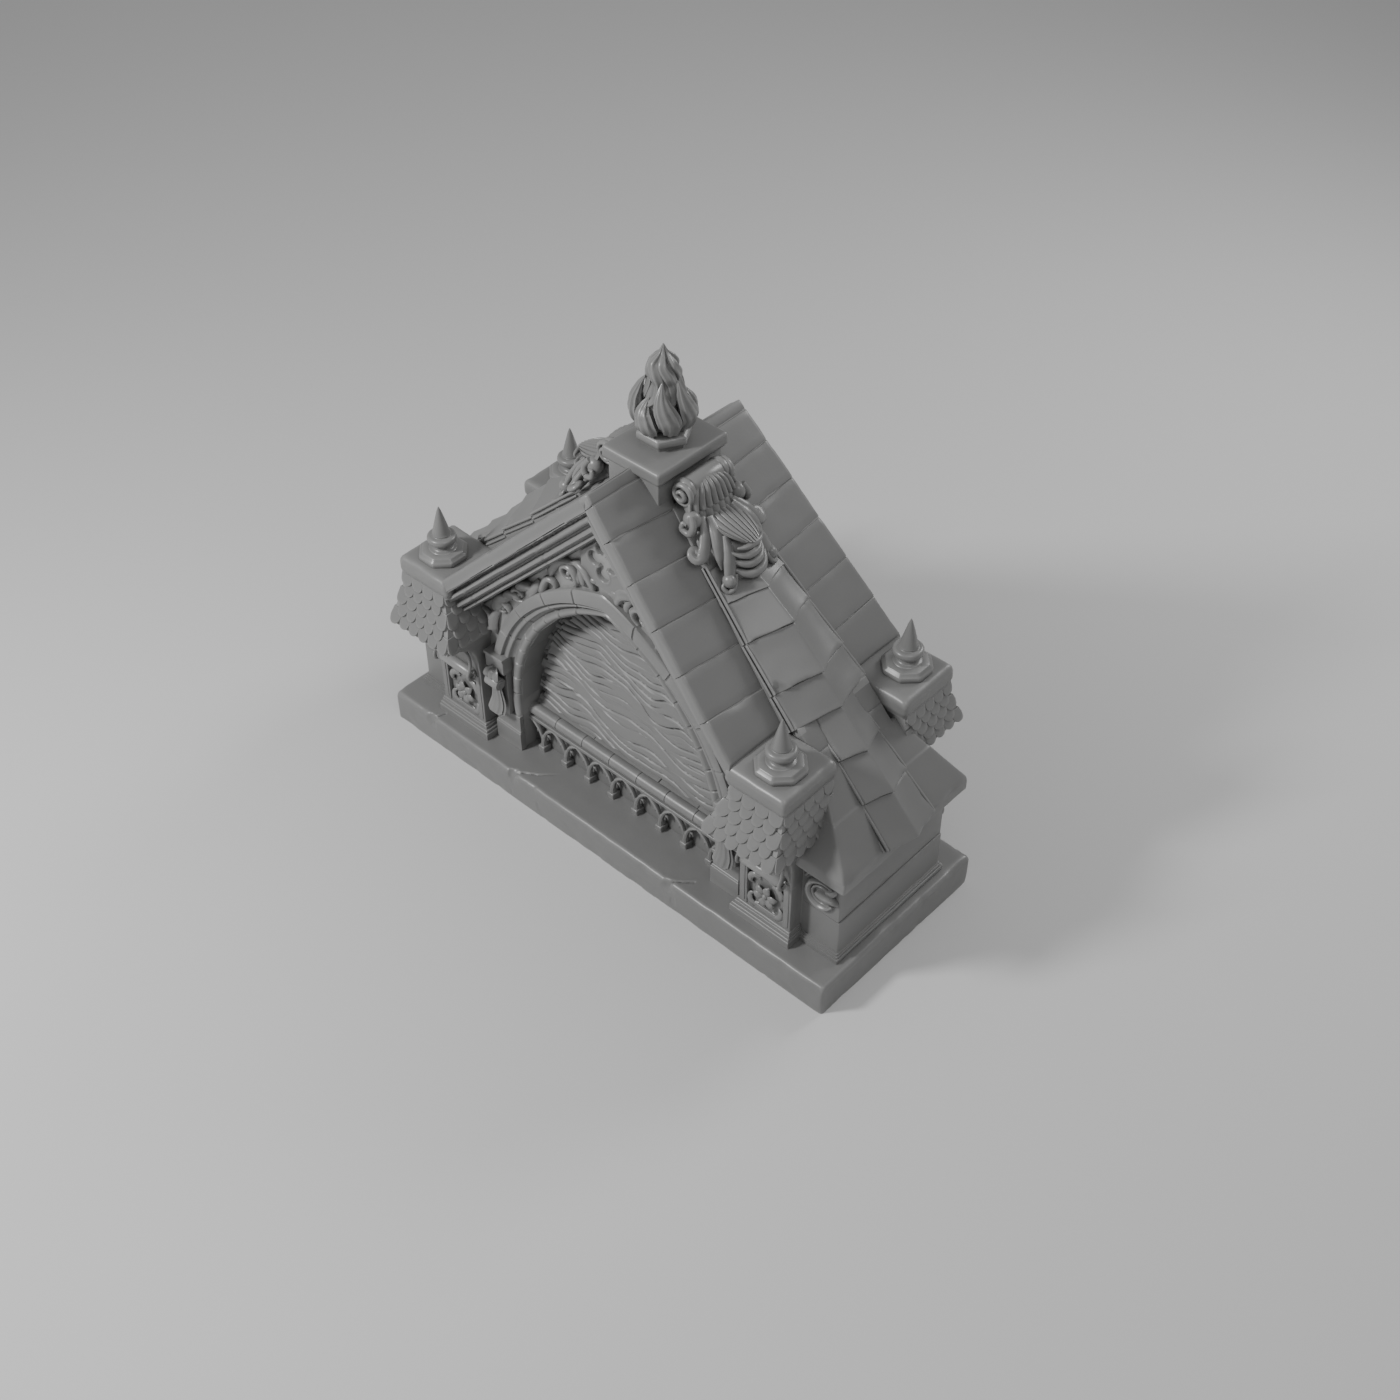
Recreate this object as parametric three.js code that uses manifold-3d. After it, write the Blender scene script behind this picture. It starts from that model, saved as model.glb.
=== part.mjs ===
import * as THREE from "three";
import { mergeVertices } from "three/addons/utils/BufferGeometryUtils.js";
import Module from "manifold-3d";

const wasm = await Module();
wasm.setup();

// Driving dimensions, in millimetres.
// x runs along the front, y from front to back, z up; the front is at -y.
const slabLength = 3000;
const slabDepth = 1137;
const slabTop = 182;
const slabChamfer = 30;
const contactGap = 0.4;

const wallFace = 385;
const bodyEnd = 1210;
const apexZ = 2222;
const copingThick = 60;
const copingDip = copingThick * Math.SQRT2;
const copingLower = 935;
const copingFrontAtRidge = 500;
const copingFlare = 0.075;
const slabPitch = 220;
const jointDepth = 6;

const archSpring = 500;
const archSteps = 6;
const archOuter = { half: 845, apex: 1612 };
const archBand = { half: 795, apex: 1527 };
const archHollow = { half: 722, apex: 1497 };
const archInner = { half: 670, apex: 1466 };
const bandFace = 430;
const rollFace = 408;
const recessFit = { half: archInner.half - contactGap, apex: archInner.apex - 1 };
const boardFace = 250;
const boardThick = 34;
const boardLap = 13;
const boardCount = 9;
const sillTop = 452;
const sillBottom = 384;
const sillFront = 345;
const arcadeFace = 332;
const arcadeBack = 292;
const arcadeBays = 8;

const pier = { inner: 886, outer: 1203, face: 462 };
const pierPanel = { inset: 48, depth: 24, bottom: 300, top: 590 };
const jambSize = { inner: 662, outer: 846, plinthTop: 300, pedestalTop: 408, consoleTop: 672 };
const impost = { inner: 718, bottom: 700, top: 800, face: 460 };
const capSize = { inner: 936, outer: 1252, front: 603, back: 241, bottom: 1168, top: 1273 };
const finialAt = { x: 1094, y: 443.5, tip: 1561.6 };
const scaleRows = 4;
const scalesAcross = 5;

const eave = { x: 1493, y: 458, top: 808, bottom: 728, hipSlope: 0.597, shoulder: 1105 };
const eaveSum = 2322;
const sideBlock = { end: 1425, half: 385, course: 440 };
const ribSeams = [735, 928, 1186, 1365, 1598, 1821, 2062];
const ribTop = 240;
const narrowRib = { from: 3, half: 122, flare: 0.058 };

const spandrelApex = apexZ - 275;
const quatrefoil = { z: 1800, across: 50, up: 72, lobe: 34 };
const topCap = { x: 175, y: 226, bottom: 2187, top: 2258 };
const topBlock = { x: 152, y: 204, bottom: 1950 };
const flameTip = 2742;

const stoneLook = { color: 0x7c7c7c, roughness: 0.42, metalness: 0 };
const woodLook = { color: 0x767676, roughness: 0.48, metalness: 0 };

// Solids from geometry, and their joins and cuts.
function solid(geometry) {
  const plain = geometry.clone();
  plain.deleteAttribute("normal");
  plain.deleteAttribute("uv");
  const merged = geometry.attributes.normal ? mergeVertices(plain, 1e-3) : plain;
  const mesh = new wasm.Mesh({
    numProp: 3,
    vertProperties: new Float32Array(merged.attributes.position.array),
    triVerts: new Uint32Array(merged.index.array),
  });
  return new wasm.Manifold(mesh);
}

function joined(solids) {
  return solids.reduce((all, next) => all.add(next));
}

function cutBy(body, tools) {
  return tools.reduce((left, tool) => left.subtract(tool), body);
}

function toGeometry(body) {
  const mesh = body.getMesh();
  const geometry = new THREE.BufferGeometry();
  geometry.setAttribute("position", new THREE.BufferAttribute(new Float32Array(mesh.vertProperties), 3));
  geometry.setIndex(new THREE.BufferAttribute(new Uint32Array(mesh.triVerts), 1));
  return geometry;
}

// A copy mirrored across x or y; the triangles are turned round where that turns them inside out.
function mirrored(body, signX, signY) {
  const geometry = toGeometry(body);
  geometry.scale(signX, signY, 1);
  if (signX * signY < 0) {
    const index = geometry.index.array;
    for (let i = 0; i < index.length; i += 3) {
      const kept = index[i + 1];
      index[i + 1] = index[i + 2];
      index[i + 2] = kept;
    }
  }
  return solid(geometry);
}

function box(x0, x1, y0, y1, z0, z1) {
  const geometry = new THREE.BoxGeometry(x1 - x0, y1 - y0, z1 - z0);
  geometry.translate((x0 + x1) / 2, (y0 + y1) / 2, (z0 + z1) / 2);
  return solid(geometry);
}

// A closed skin through rings of points that all have the same count.
function loft(rings) {
  const count = rings[0].length;
  const positions = rings.flat().flatMap((p) => [p.x, p.y, p.z]);
  const index = [];
  for (let r = 0; r + 1 < rings.length; r += 1) {
    for (let i = 0; i < count; i += 1) {
      const a = r * count + i;
      const b = r * count + ((i + 1) % count);
      index.push(a, b, b + count, a, b + count, a + count);
    }
  }
  const last = (rings.length - 1) * count;
  for (const [ring, first, turn] of [[rings[0], 0, true], [rings[rings.length - 1], last, false]]) {
    let faces = flatTriangles(ring).map((tri) => tri.map((i) => i + first));
    if (faces.length < count - 2) {
      const middle = positions.length / 3;
      const mean = ring.reduce((sum, p) => sum.add(p), new THREE.Vector3()).divideScalar(count);
      positions.push(mean.x, mean.y, mean.z);
      faces = ring.map((_, i) => [first + i, first + ((i + 1) % count), middle]);
    }
    for (const [a, b, c] of faces) {
      index.push(...(turn ? [a, c, b] : [a, b, c]));
    }
  }
  const geometry = new THREE.BufferGeometry();
  geometry.setAttribute("position", new THREE.Float32BufferAttribute(positions, 3));
  geometry.setIndex(signedVolume(positions, index) < 0 ? [...index].reverse() : index);
  return solid(geometry);
}

function signedVolume(positions, index) {
  const at = (i) => new THREE.Vector3().fromArray(positions, i * 3);
  let total = 0;
  for (let i = 0; i < index.length; i += 3) {
    total += at(index[i]).dot(at(index[i + 1]).cross(at(index[i + 2])));
  }
  return total / 6;
}

// Triangles over a flat ring, wound the way the ring runs.
function flatTriangles(ring) {
  const normal = new THREE.Vector3();
  ring.forEach((p, i) => {
    const q = ring[(i + 1) % ring.length];
    normal.x += (p.y - q.y) * (p.z + q.z);
    normal.y += (p.z - q.z) * (p.x + q.x);
    normal.z += (p.x - q.x) * (p.y + q.y);
  });
  const n = normal.normalize();
  const along = Math.abs(n.z) < 0.9 ? new THREE.Vector3(0, 0, 1) : new THREE.Vector3(1, 0, 0);
  const u = along.cross(n).normalize();
  const v = n.clone().cross(u);
  const flat = ring.map((p) => new THREE.Vector2(p.dot(u), p.dot(v)));
  return THREE.ShapeUtils.triangulateShape(flat, []);
}

const point = (x, y, z) => new THREE.Vector3(x, y, z);

function rectangle(x0, x1, y0, y1, z) {
  return [point(x0, y0, z), point(x1, y0, z), point(x1, y1, z), point(x0, y1, z)];
}

// An outline in x and z, carried from y0 to y1.
function slabAcross(outline, y0, y1) {
  return loft([y0, y1].map((y) => outline.map(([x, z]) => point(x, y, z))));
}

function turned(profile, segments, x, y) {
  const geometry = new THREE.LatheGeometry(profile.map(([r, z]) => new THREE.Vector2(r, z)), segments);
  geometry.rotateX(Math.PI / 2);
  geometry.translate(x, y, 0);
  return solid(geometry);
}

// The slope frame: s runs down from the ridge, n rises square from the coping's top face.
function onSlope(s, y, n) {
  return point((s + n) * Math.SQRT1_2, y, apexZ + (n - s) * Math.SQRT1_2);
}

// A pointed arch as a line of points from the left foot over the apex to the right foot.
function pointedArch(size, steps, foot) {
  const rise = size.apex - archSpring;
  const centre = (rise * rise - size.half * size.half) / (2 * size.half);
  const radius = size.half + centre;
  const top = Math.asin(rise / radius);
  const right = [];
  for (let i = 0; i <= steps; i += 1) {
    const angle = (top * i) / steps;
    right.push([Math.cos(angle) * radius - centre, archSpring + Math.sin(angle) * radius]);
  }
  right[steps] = [0, size.apex];
  const line = foot < archSpring ? [[size.half, foot], ...right] : right;
  const left = line.slice(0, -1).map(([x, z]) => [-x, z]);
  return [...left, ...line.reverse()];
}

// Base slab with a chamfered top edge.
function baseSlab() {
  const x = slabLength / 2;
  const y = slabDepth / 2;
  const round = 10;
  const rim = (inset, z) => {
    const a = x - inset;
    const b = y - inset;
    return [
      [-a + round, -b], [a - round, -b], [a, -b + round], [a, b - round],
      [a - round, b], [-a + round, b], [-a, b - round], [-a, -b + round],
    ].map(([px, py]) => point(px, py, z));
  };
  return loft([
    rim(8, 0),
    rim(0, 12),
    rim(0, slabTop - slabChamfer),
    rim(slabChamfer * 0.3, slabTop - slabChamfer * 0.3),
    rim(slabChamfer, slabTop),
  ]);
}

// The wall between the piers, with the arched recess on both faces.
function bodyEnvelope(grow) {
  const roof = apexZ - copingDip + (grow - contactGap) * Math.SQRT2;
  const end = bodyEnd + grow;
  const outline = [
    [-end, slabTop + contactGap - grow], [end, slabTop + contactGap - grow],
    [end, roof - end], [0, roof], [-end, roof - end],
  ];
  return slabAcross(outline, -wallFace - grow, wallFace + grow);
}

function gableBody() {
  const size = { half: archInner.half + contactGap, apex: archInner.apex };
  const past = wallFace + 10;
  const low = pointedArch(size, archSteps, slabTop);
  const high = pointedArch(size, archSteps, sillBottom);
  const deep = boardFace - boardThick - contactGap;
  const tools = [-1, 1].flatMap((side) => [
    slabAcross(low, side * (arcadeBack - contactGap), side * past),
    slabAcross(high, side * deep, side * past),
  ]);
  return cutBy(bodyEnvelope(0), tools);
}

// Moulded arch ring: flat outer band, fillet, hollow and inner roll, running down the jambs.
function archivolt() {
  const back = wallFace + contactGap;
  const part = (a, b, t) => a + (b - a) * t;
  const between = (a, b, t) => ({ half: part(a.half, b.half, t), apex: part(a.apex, b.apex, t) });
  const section = [
    [archOuter, back], [archOuter, bandFace], [archBand, bandFace],
    [between(archBand, archHollow, 0.1), bandFace - 14], [between(archBand, archHollow, 0.6), bandFace - 18],
    [archHollow, bandFace - 38], [between(archHollow, archInner, 0.4), rollFace],
    [archInner, rollFace - 14], [archInner, back],
  ];
  const foot = slabTop + contactGap;
  const lines = section.map(([size, y]) => {
    return pointedArch(size, archSteps, foot).map(([x, z]) => point(x, -y, z));
  });
  return loft(lines[0].map((_, i) => lines.map((line) => line[i])));
}

// Horizontal boards behind the arch, each lapping the one below.
function boards() {
  const low = sillBottom + contactGap;
  const back = -boardFace + boardThick;
  const field = slabAcross(pointedArch(recessFit, archSteps, low), -boardFace - boardLap - 1, back);
  const pitch = (recessFit.apex - sillTop) / boardCount;
  const past = 5;
  const face = [[back + past, low - past]];
  for (let i = 0; i < boardCount; i += 1) {
    const z = sillTop + i * pitch;
    face.push([-boardFace - boardLap, i === 0 ? low - past : z], [-boardFace, z + pitch]);
  }
  face.push([back + past, recessFit.apex + 8 * past]);
  const wide = recessFit.half + 4 * past;
  const lapped = loft([-wide, wide].map((x) => face.map(([y, z]) => point(x, y, z))));
  return field.intersect(lapped);
}

// Roll sill with a sloping ledge behind it, up to the lowest board.
function sill() {
  const mid = (sillTop + sillBottom) / 2;
  const radius = (sillTop - sillBottom) / 2;
  const back = -boardFace - boardLap - 1 - contactGap;
  const section = [];
  const steps = 6;
  for (let i = 0; i <= steps; i += 1) {
    const angle = Math.PI * (1.5 - i / steps);
    section.push([-sillFront + radius + Math.cos(angle) * radius, mid + Math.sin(angle) * radius]);
  }
  section.push([-sillFront + radius + 14, sillTop - 10], [back, sillTop + 4], [back, sillBottom]);
  const body = loft([-recessFit.half, recessFit.half].map((x) => section.map(([y, z]) => point(x, y, z))));
  const ledge = box(-slabLength, slabLength, -arcadeBack, 0, 0, sillBottom + contactGap);
  return cutBy(body, [ledge]);
}

// Small arcade under the sill: pointed bays between stubby piers with a drop at each foot.
function arcade(carved) {
  const { half } = recessFit;
  const pitch = (half * 2) / arcadeBays;
  const low = slabTop + contactGap;
  const open = pitch * 0.32;
  const bayDepth = 30;
  const [springing, shoulder, crown] = [low + 78, low + 130, low + 168];
  const tools = [];
  for (let i = 0; i < arcadeBays; i += 1) {
    const x = -half + pitch * (i + 0.5);
    const side = [[open, low - 5], [open, springing], [open * 0.6, shoulder]];
    const bay = [
      ...side.map(([dx, z]) => [x + dx, z]), [x, crown], ...side.reverse().map(([dx, z]) => [x - dx, z]),
    ];
    tools.push(slabAcross(bay, -arcadeFace - 5, -arcadeFace + bayDepth));
  }
  const panel = box(-half, half, -arcadeFace, -arcadeBack - contactGap, low, sillBottom - contactGap);
  const body = cutBy(panel, tools);
  const drops = [];
  for (let i = 1; i < arcadeBays; i += 1) {
    const shape = [[0, low + 6], [19, low + 60], [0, low + 112]];
    drops.push(turned(shape, 4, -half + pitch * i, -arcadeFace));
  }
  return carved ? joined([body, ...drops]) : body;
}

// Jamb: pedestal block and plinth, scrolled console and impost under the arch band.
function jamb() {
  const back = -wallFace - contactGap;
  const { inner, outer, plinthTop, pedestalTop, consoleTop } = jambSize;
  const consoleInner = impost.inner + 10;
  const consoleOuter = outer - 18;
  const foot = pedestalTop + 2;
  const profile = [[back, foot]];
  const steps = 5;
  for (let i = 0; i <= steps; i += 1) {
    const t = i / steps;
    const swell = 26 + 34 * Math.abs(Math.sin(t * Math.PI * 1.5)) * (0.55 + 0.45 * t);
    profile.push([-bandFace - swell, foot + t * (consoleTop - foot)]);
  }
  profile.push([back, consoleTop]);
  return joined([
    box(inner, outer, -rollFace - 14, back, slabTop + contactGap, plinthTop),
    box(inner + 4, outer - 4, -rollFace - 6, back, plinthTop - 10, pedestalTop),
    box(consoleInner, consoleOuter, -bandFace - 10, back, pedestalTop - 8, impost.bottom + 5),
    loft([consoleInner, consoleOuter].map((x) => profile.map(([y, z]) => point(x, y, z)))),
    box(impost.inner, outer, -impost.face, back, impost.bottom, impost.top),
  ]);
}

// A raised rib along a curve on the wall, narrowing towards its end.
function ribbon(points, width, depth, y) {
  const curve = new THREE.CatmullRomCurve3(points.map(([x, z]) => point(x, 0, z)));
  const steps = points.length > 4 ? 5 : 2;
  const rings = [];
  for (let i = 0; i <= steps; i += 1) {
    const t = i / steps;
    const at = curve.getPoint(t);
    const along = curve.getTangent(t);
    const side = point(-along.z, 0, along.x).multiplyScalar((width * (1 - 0.45 * t)) / 2);
    rings.push([
      point(at.x - side.x, y, at.z - side.z),
      point(at.x, y - depth, at.z),
      point(at.x + side.x, y, at.z + side.z),
    ]);
  }
  return loft(rings);
}

// One inward turn of a scroll from its outer end to its eye.
function scrollPoints({ x, z, radius, start }, hand) {
  const points = [];
  const count = 4;
  for (let i = 0; i <= count; i += 1) {
    const t = i / count;
    const angle = start + hand * 2 * Math.PI * t;
    const r = radius * (1 - 0.72 * t);
    points.push([x + Math.cos(angle) * r, z + Math.sin(angle) * r]);
  }
  return points;
}

// Scrolls and leaves of one half, from the lower corner up to the apex.
const scrolls = [
  { x: 842, z: 985, radius: 50, start: Math.PI * 0.5, hand: -1 },
  { x: 560, z: 1330, radius: 52, start: Math.PI * 0.5, hand: -1 },
  { x: 330, z: 1530, radius: 66, start: Math.PI * 0.6, hand: 1 },
];
const leaves = [
  [[630, 1265], [700, 1190], [740, 1100]],
  [[400, 1500], [470, 1440], [500, 1380]],
  [[120, 1650], [200, 1690], [330, 1610]],
];

// Carved field between the arch and the cornice, with a pierced quatrefoil under the apex.
function spandrel(carved) {
  const back = -wallFace - contactGap;
  const face = back - 10;
  const clear = -700;
  const fieldEdge = [[-925, 1018], [-845, 815], [845, 815], [925, 1018], [0, spandrelApex]];
  const bossEdge = [[-125, 1650], [125, 1650], [110, 1800], [0, 1915], [-110, 1800]];
  const field = slabAcross(fieldEdge, face, back);
  const boss = slabAcross(bossEdge, face - 12, back);
  const pieces = [field, boss];
  for (const side of [-1, 1]) {
    const curls = scrolls.map((s) => scrollPoints({ ...s, x: side * s.x }, side * s.hand));
    const blades = leaves.map((leaf) => leaf.map(([x, z]) => [side * x, z]));
    for (const line of carved ? [...curls, ...blades] : curls.slice(2)) {
      pieces.push(ribbon(line, 32, 30, face + 2));
    }
  }
  const lobes = [0, 1, 2, 3].map((i) => {
    const angle = (i * Math.PI) / 2;
    const lobe = [];
    for (let k = 0; k < 6; k += 1) {
      const a = (k * Math.PI) / 3;
      lobe.push([
        Math.cos(angle) * quatrefoil.across + Math.cos(a) * quatrefoil.lobe,
        quatrefoil.z + Math.sin(angle) * quatrefoil.up + Math.sin(a) * quatrefoil.lobe,
      ]);
    }
    return slabAcross(lobe, clear, face + 7);
  });
  const archSize = { half: archOuter.half + contactGap, apex: archOuter.apex + 2 * contactGap };
  const arch = slabAcross(pointedArch(archSize, archSteps, archSpring), clear, 0);
  const under = spandrelApex - 1;
  const outline = slabAcross([[-935, 1008], [-935, 800], [935, 800], [935, 1008], [0, under]], clear, 0);
  return cutBy(joined(pieces), [arch, ...lobes]).intersect(outline);
}

// Raking cornice under the coping, as face and depth below it: fascia, hollow and two rolls.
const corniceSection = [
  [wallFace + contactGap, 0], [494, 0], [494, 4], [488, 8], [470, 14], [468, 26], [476, 34], [478, 50],
  [468, 62], [448, 70], [446, 80], [452, 88], [450, 104], [438, 112], [424, 120], [420, 128],
  [wallFace + contactGap, 130],
];
const seamGap = 0.3;

function cornice() {
  const ring = (plumbX) => corniceSection.map(([y, depth]) => {
    const n = -copingThick - contactGap - depth;
    const s = plumbX * Math.SQRT2 - n;
    const flare = (y - 300) * copingFlare * 0.005 * s;
    return onSlope(s, -y - flare, n);
  });
  return loft([ring(seamGap), ring(copingLower)]);
}

// Coping slabs of one slope and one gable, with fine joints across the top.
function coping() {
  const top = [];
  const end = copingLower * Math.SQRT2;
  for (let s = slabPitch; s < end - 30; s += slabPitch) {
    top.push([s, 0], [s + 1, -jointDepth]);
  }
  const outline = [
    [seamGap, 0], ...top, [end, 0], [end + copingThick, -copingThick], [copingThick + seamGap, -copingThick],
  ];
  const arris = 10;
  const outer = (s) => -(copingFrontAtRidge + copingFlare * s);
  const shape = loft([
    outline.map(([s, n]) => onSlope(s, -(ribHalf(s) + 4), n)),
    outline.map(([s, n]) => onSlope(s, outer(s) + arris, n)),
    outline.map(([s, n]) => onSlope(s, outer(s), n > -arris ? n - 7 : n)),
  ]);
  const seam = box(-50, seamGap - 0.1, -700, 0, 1000, 2300);
  return cutBy(shape, [...topCapTools(), seam]);
}

// Space taken by the cap stone on the ridge and by its block.
function topCapTools() {
  const around = ({ x, y }, z0) => box(
    -x - contactGap, x + contactGap, -y - contactGap, y + contactGap, z0 - contactGap, topCap.top + 100,
  );
  return [around(topBlock, topBlock.bottom), around(topCap, topCap.bottom)];
}

function ribHalf(s) {
  return 205 + 0.09 * (s - 928);
}

// Tiles of the rib: low gabled slabs with a beaked lower edge, each standing over the one below.
const ribSide = [58, 58, 66, 66, 92, 92, 90];
const ribCrest = [128, 145, 138, 122, 122, 122, 108];
// The rib starts as a low strip that the bracket lies on, and swells where the bracket ends.
const ribStart = [
  { s: ribTop, side: 2, crest: 9 },
  { s: 480, side: 3, crest: 11 },
  { s: 545, side: 32, crest: 60 },
  { s: 700, side: 44, crest: 100 },
  { s: ribSeams[0], side: 52, crest: 126 },
];

function ribTile(index, grow = 0) {
  const upperS = ribSeams[index] - grow;
  const lowerS = ribSeams[index + 1] + grow;
  const { from, half: narrow, flare } = narrowRib;
  const wide = index < from;
  const half = (s) => (wide ? ribHalf(s) : narrow + (s - ribSeams[from]) * flare) + grow;
  const floor = wide ? -copingThick + contactGap : 30;
  const beak = 34;
  const lap = 14;
  const ring = (s, side, crest, reach) => [
    onSlope(s, -half(s), floor), onSlope(s, -half(s), side + grow), onSlope(s + reach, 0, crest + grow),
    onSlope(s, half(s), side + grow), onSlope(s, half(s), floor),
  ];
  const low = ring(lowerS, ribSide[index + 1], ribCrest[index + 1], beak);
  if (index === 0) {
    const start = ribStart.map(({ s, side, crest }) => ring(s - grow, side, crest, 0));
    return loft([...start, low]);
  }
  const upperSide = index === from ? ribSide[index + 1] : ribSide[index];
  return loft([ring(upperS + contactGap, upperSide - lap, ribCrest[index] - lap, beak), low]);
}

// Lower roof between and below the caps: hipped, with a thick eave.
function eaveRoof(grow) {
  const start = bodyEnd + contactGap;
  const { hipSlope, shoulder } = eave;
  const hipEnd = 1132;
  const bend = 994;
  const hip = (z) => eave.y + grow - (Math.min(z, hipEnd) - eave.top) * hipSlope;
  const ring = (x, y, z) => rectangle(start - grow, x + grow, -y, y, z);
  const lower = loft([
    ring(eave.x - 22, eave.y - 26 + grow, eave.bottom - grow),
    ring(eave.x, eave.y + grow, eave.bottom + 18),
    ring(eave.x, eave.y + grow, eave.top),
    ring(eaveSum - bend + 8, hip(bend), bend),
    ring(eaveSum - shoulder, hip(shoulder), shoulder),
  ]);
  const upperS = ribSeams[narrowRib.from] + contactGap;
  const foot = 900;
  const wallTop = apexZ - copingDip + contactGap * 1.5 - bodyEnd;
  const upper = [-238, 238].map((y) => [
    onSlope(upperS, y, -copingThick + contactGap), onSlope(upperS, y, 70 + grow),
    point(eaveSum - shoulder, y, shoulder + grow), point(eaveSum - shoulder, y, foot),
    point(start, y, foot), point(start, y, wallTop),
  ]);
  return joined([lower, loft(upper)]);
}

// Block under the eave: two courses on a stepped plinth, with a band below the eave.
function sideBlockSolid() {
  const low = slabTop + contactGap;
  const start = bodyEnd + contactGap;
  const { end, half, course } = sideBlock;
  const outside = pier.outer + 18;
  const high = eave.bottom - contactGap;
  return joined([
    box(start, end + 6, -half, half, low, course),
    box(start, end, -half, half, course - 2, high),
    box(outside, end + 24, -half - 24, half + 24, low, low + 26),
    box(outside, end + 14, -half - 14, half + 14, low + 20, low + 48),
    box(outside, end + 12, -half - 8, half + 8, 650, high),
  ]);
}

// Steps and cove of the pier, as how far each stands out past the shaft.
const pierSteps = [
  { inner: 37, outer: 16, front: 29, bottom: slabTop + contactGap, top: 237 },
  { inner: 20, outer: 8, front: 14, bottom: 230, top: 268 },
];
const pierCove = [
  { z: 560, inner: 0, outer: 0, front: 0 },
  { z: 760, inner: 8, outer: 12, front: 26 },
  { z: 850, inner: 26, outer: 40, front: 104 },
  { z: 898, inner: 36, outer: 60, front: 200 },
];
const rosette = { z: 385, reach: 46, petals: 5, long: 40, wide: 24, deep: 17, boss: 22 };

// Pier at the right front: stepped base, panelled shaft with a rosette, and a cove under the skirt.
function pierSolid(carved) {
  const back = -wallFace - contactGap;
  const { inner, outer, face } = pier;
  const steps = pierSteps.map((s) => {
    return box(inner - s.inner, outer + s.outer, -face - s.front, back, s.bottom, s.top);
  });
  const cove = loft(pierCove.map((c) => {
    return rectangle(inner - c.inner, outer + c.outer, -face - c.front, back, c.z);
  }));
  const shaft = box(inner, outer, -face, back, 260, pierCove[0].z + 5);
  const { inset, depth, bottom, top } = pierPanel;
  const panel = box(inner + inset, outer - inset, -face - 5, -face + depth, bottom, top);
  const body = cutBy(joined([...steps, cove, shaft]), [panel]);
  if (!carved) {
    return body;
  }
  const middle = (inner + outer) / 2;
  const petals = [];
  for (let i = 0; i < rosette.petals; i += 1) {
    const angle = (i * Math.PI * 2) / rosette.petals + 0.3;
    const petal = new THREE.SphereGeometry(1, 4, 2);
    petal.scale(rosette.long, rosette.deep, rosette.wide);
    petal.rotateY(-angle);
    const [across, up] = [Math.cos(angle) * rosette.reach, Math.sin(angle) * rosette.reach];
    petal.translate(middle + across, -face + depth - 2, rosette.z + up);
    petals.push(solid(petal));
  }
  const boss = new THREE.SphereGeometry(rosette.boss, 5, 2);
  boss.translate(middle, -face + depth - 6, rosette.z);
  return joined([body, ...petals, solid(boss)]);
}

// A ring round three sides of the skirt, with every second point lifted to shape the scales.
function scaleRing(row, proud, lift) {
  const side = (a, b, count, map) => {
    const line = [];
    for (let i = 0; i < count; i += 1) {
      line.push(map(a + ((b - a) * i) / count), map(a + ((b - a) * (i + 0.5)) / count));
    }
    return line;
  };
  const outer = row.outer + proud;
  const inner = row.inner - proud;
  const front = row.front - proud;
  const ring = [
    ...side(row.back, front, scalesAcross - 2, (y) => [outer, y]),
    ...side(outer, inner, scalesAcross, (x) => [x, front]),
    ...side(front, row.back, 1, (y) => [inner, y]),
  ];
  return ring.map(([x, y], i) => point(x, y, row.z + (i % 2 === 0 ? lift : 0)));
}

// Outline of the skirt at the foot of each row of scales, and at its top.
const skirtLine = [
  { z: 905, inner: 844, outer: 1273, front: -692 },
  { z: 962, inner: 862, outer: 1266, front: -664 },
  { z: 1021, inner: 886, outer: 1258, front: -636 },
  { z: 1080, inner: 912, outer: 1250, front: -612 },
  { z: 1143, inner: 940, outer: 1243, front: -594 },
].map((row) => ({ ...row, back: -262 }));

// The skirt's plain envelope, for cutting what stands against it.
function skirtEnvelope(grow) {
  const rings = skirtLine.map(({ inner, outer, front, back, z }) => {
    return rectangle(inner - grow, outer + grow, front - grow, back + grow, z);
  });
  return joined([loft(rings), skirtNeck(grow)]);
}

function skirtNeck(grow) {
  const { inner, outer, front, back } = skirtLine[scaleRows];
  const ring = (inset, proud, z) => rectangle(
    inner + inset - grow, outer - inset / 2 + grow, front - proud - grow, back + grow, z,
  );
  return loft([ring(0, 0, 1140), ring(8, 4, capSize.bottom - contactGap + grow)]);
}

function skirtSolid() {
  const tongue = 24;
  const proud = 9;
  const neckFoot = 1150;
  const rings = [];
  for (let i = 0; i < scaleRows; i += 1) {
    const above = skirtLine[i + 1];
    rings.push(scaleRing(skirtLine[i], proud, tongue));
    rings.push(scaleRing({ ...above, z: Math.min(above.z + tongue + 3, neckFoot) }, 0, 0));
  }
  return joined([loft(rings), skirtNeck(0)]);
}

// Cap slab with cut corners and rounded edges.
function capSolid() {
  const { inner, outer, front, back, bottom, top } = capSize;
  const corner = 16;
  const ring = (inset, z) => {
    const x0 = inner + inset;
    const x1 = outer - inset;
    const y0 = -front + inset;
    const y1 = -back - inset;
    return [
      [x0 + corner, y0], [x1 - corner, y0], [x1, y0 + corner], [x1, y1 - corner],
      [x1 - corner, y1], [x0 + corner, y1], [x0, y1 - corner], [x0, y0 + corner],
    ].map(([x, y]) => point(x, y, z));
  };
  return loft([ring(7, bottom), ring(0, bottom + 8), ring(0, top - 16), ring(17, top)]);
}

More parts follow.
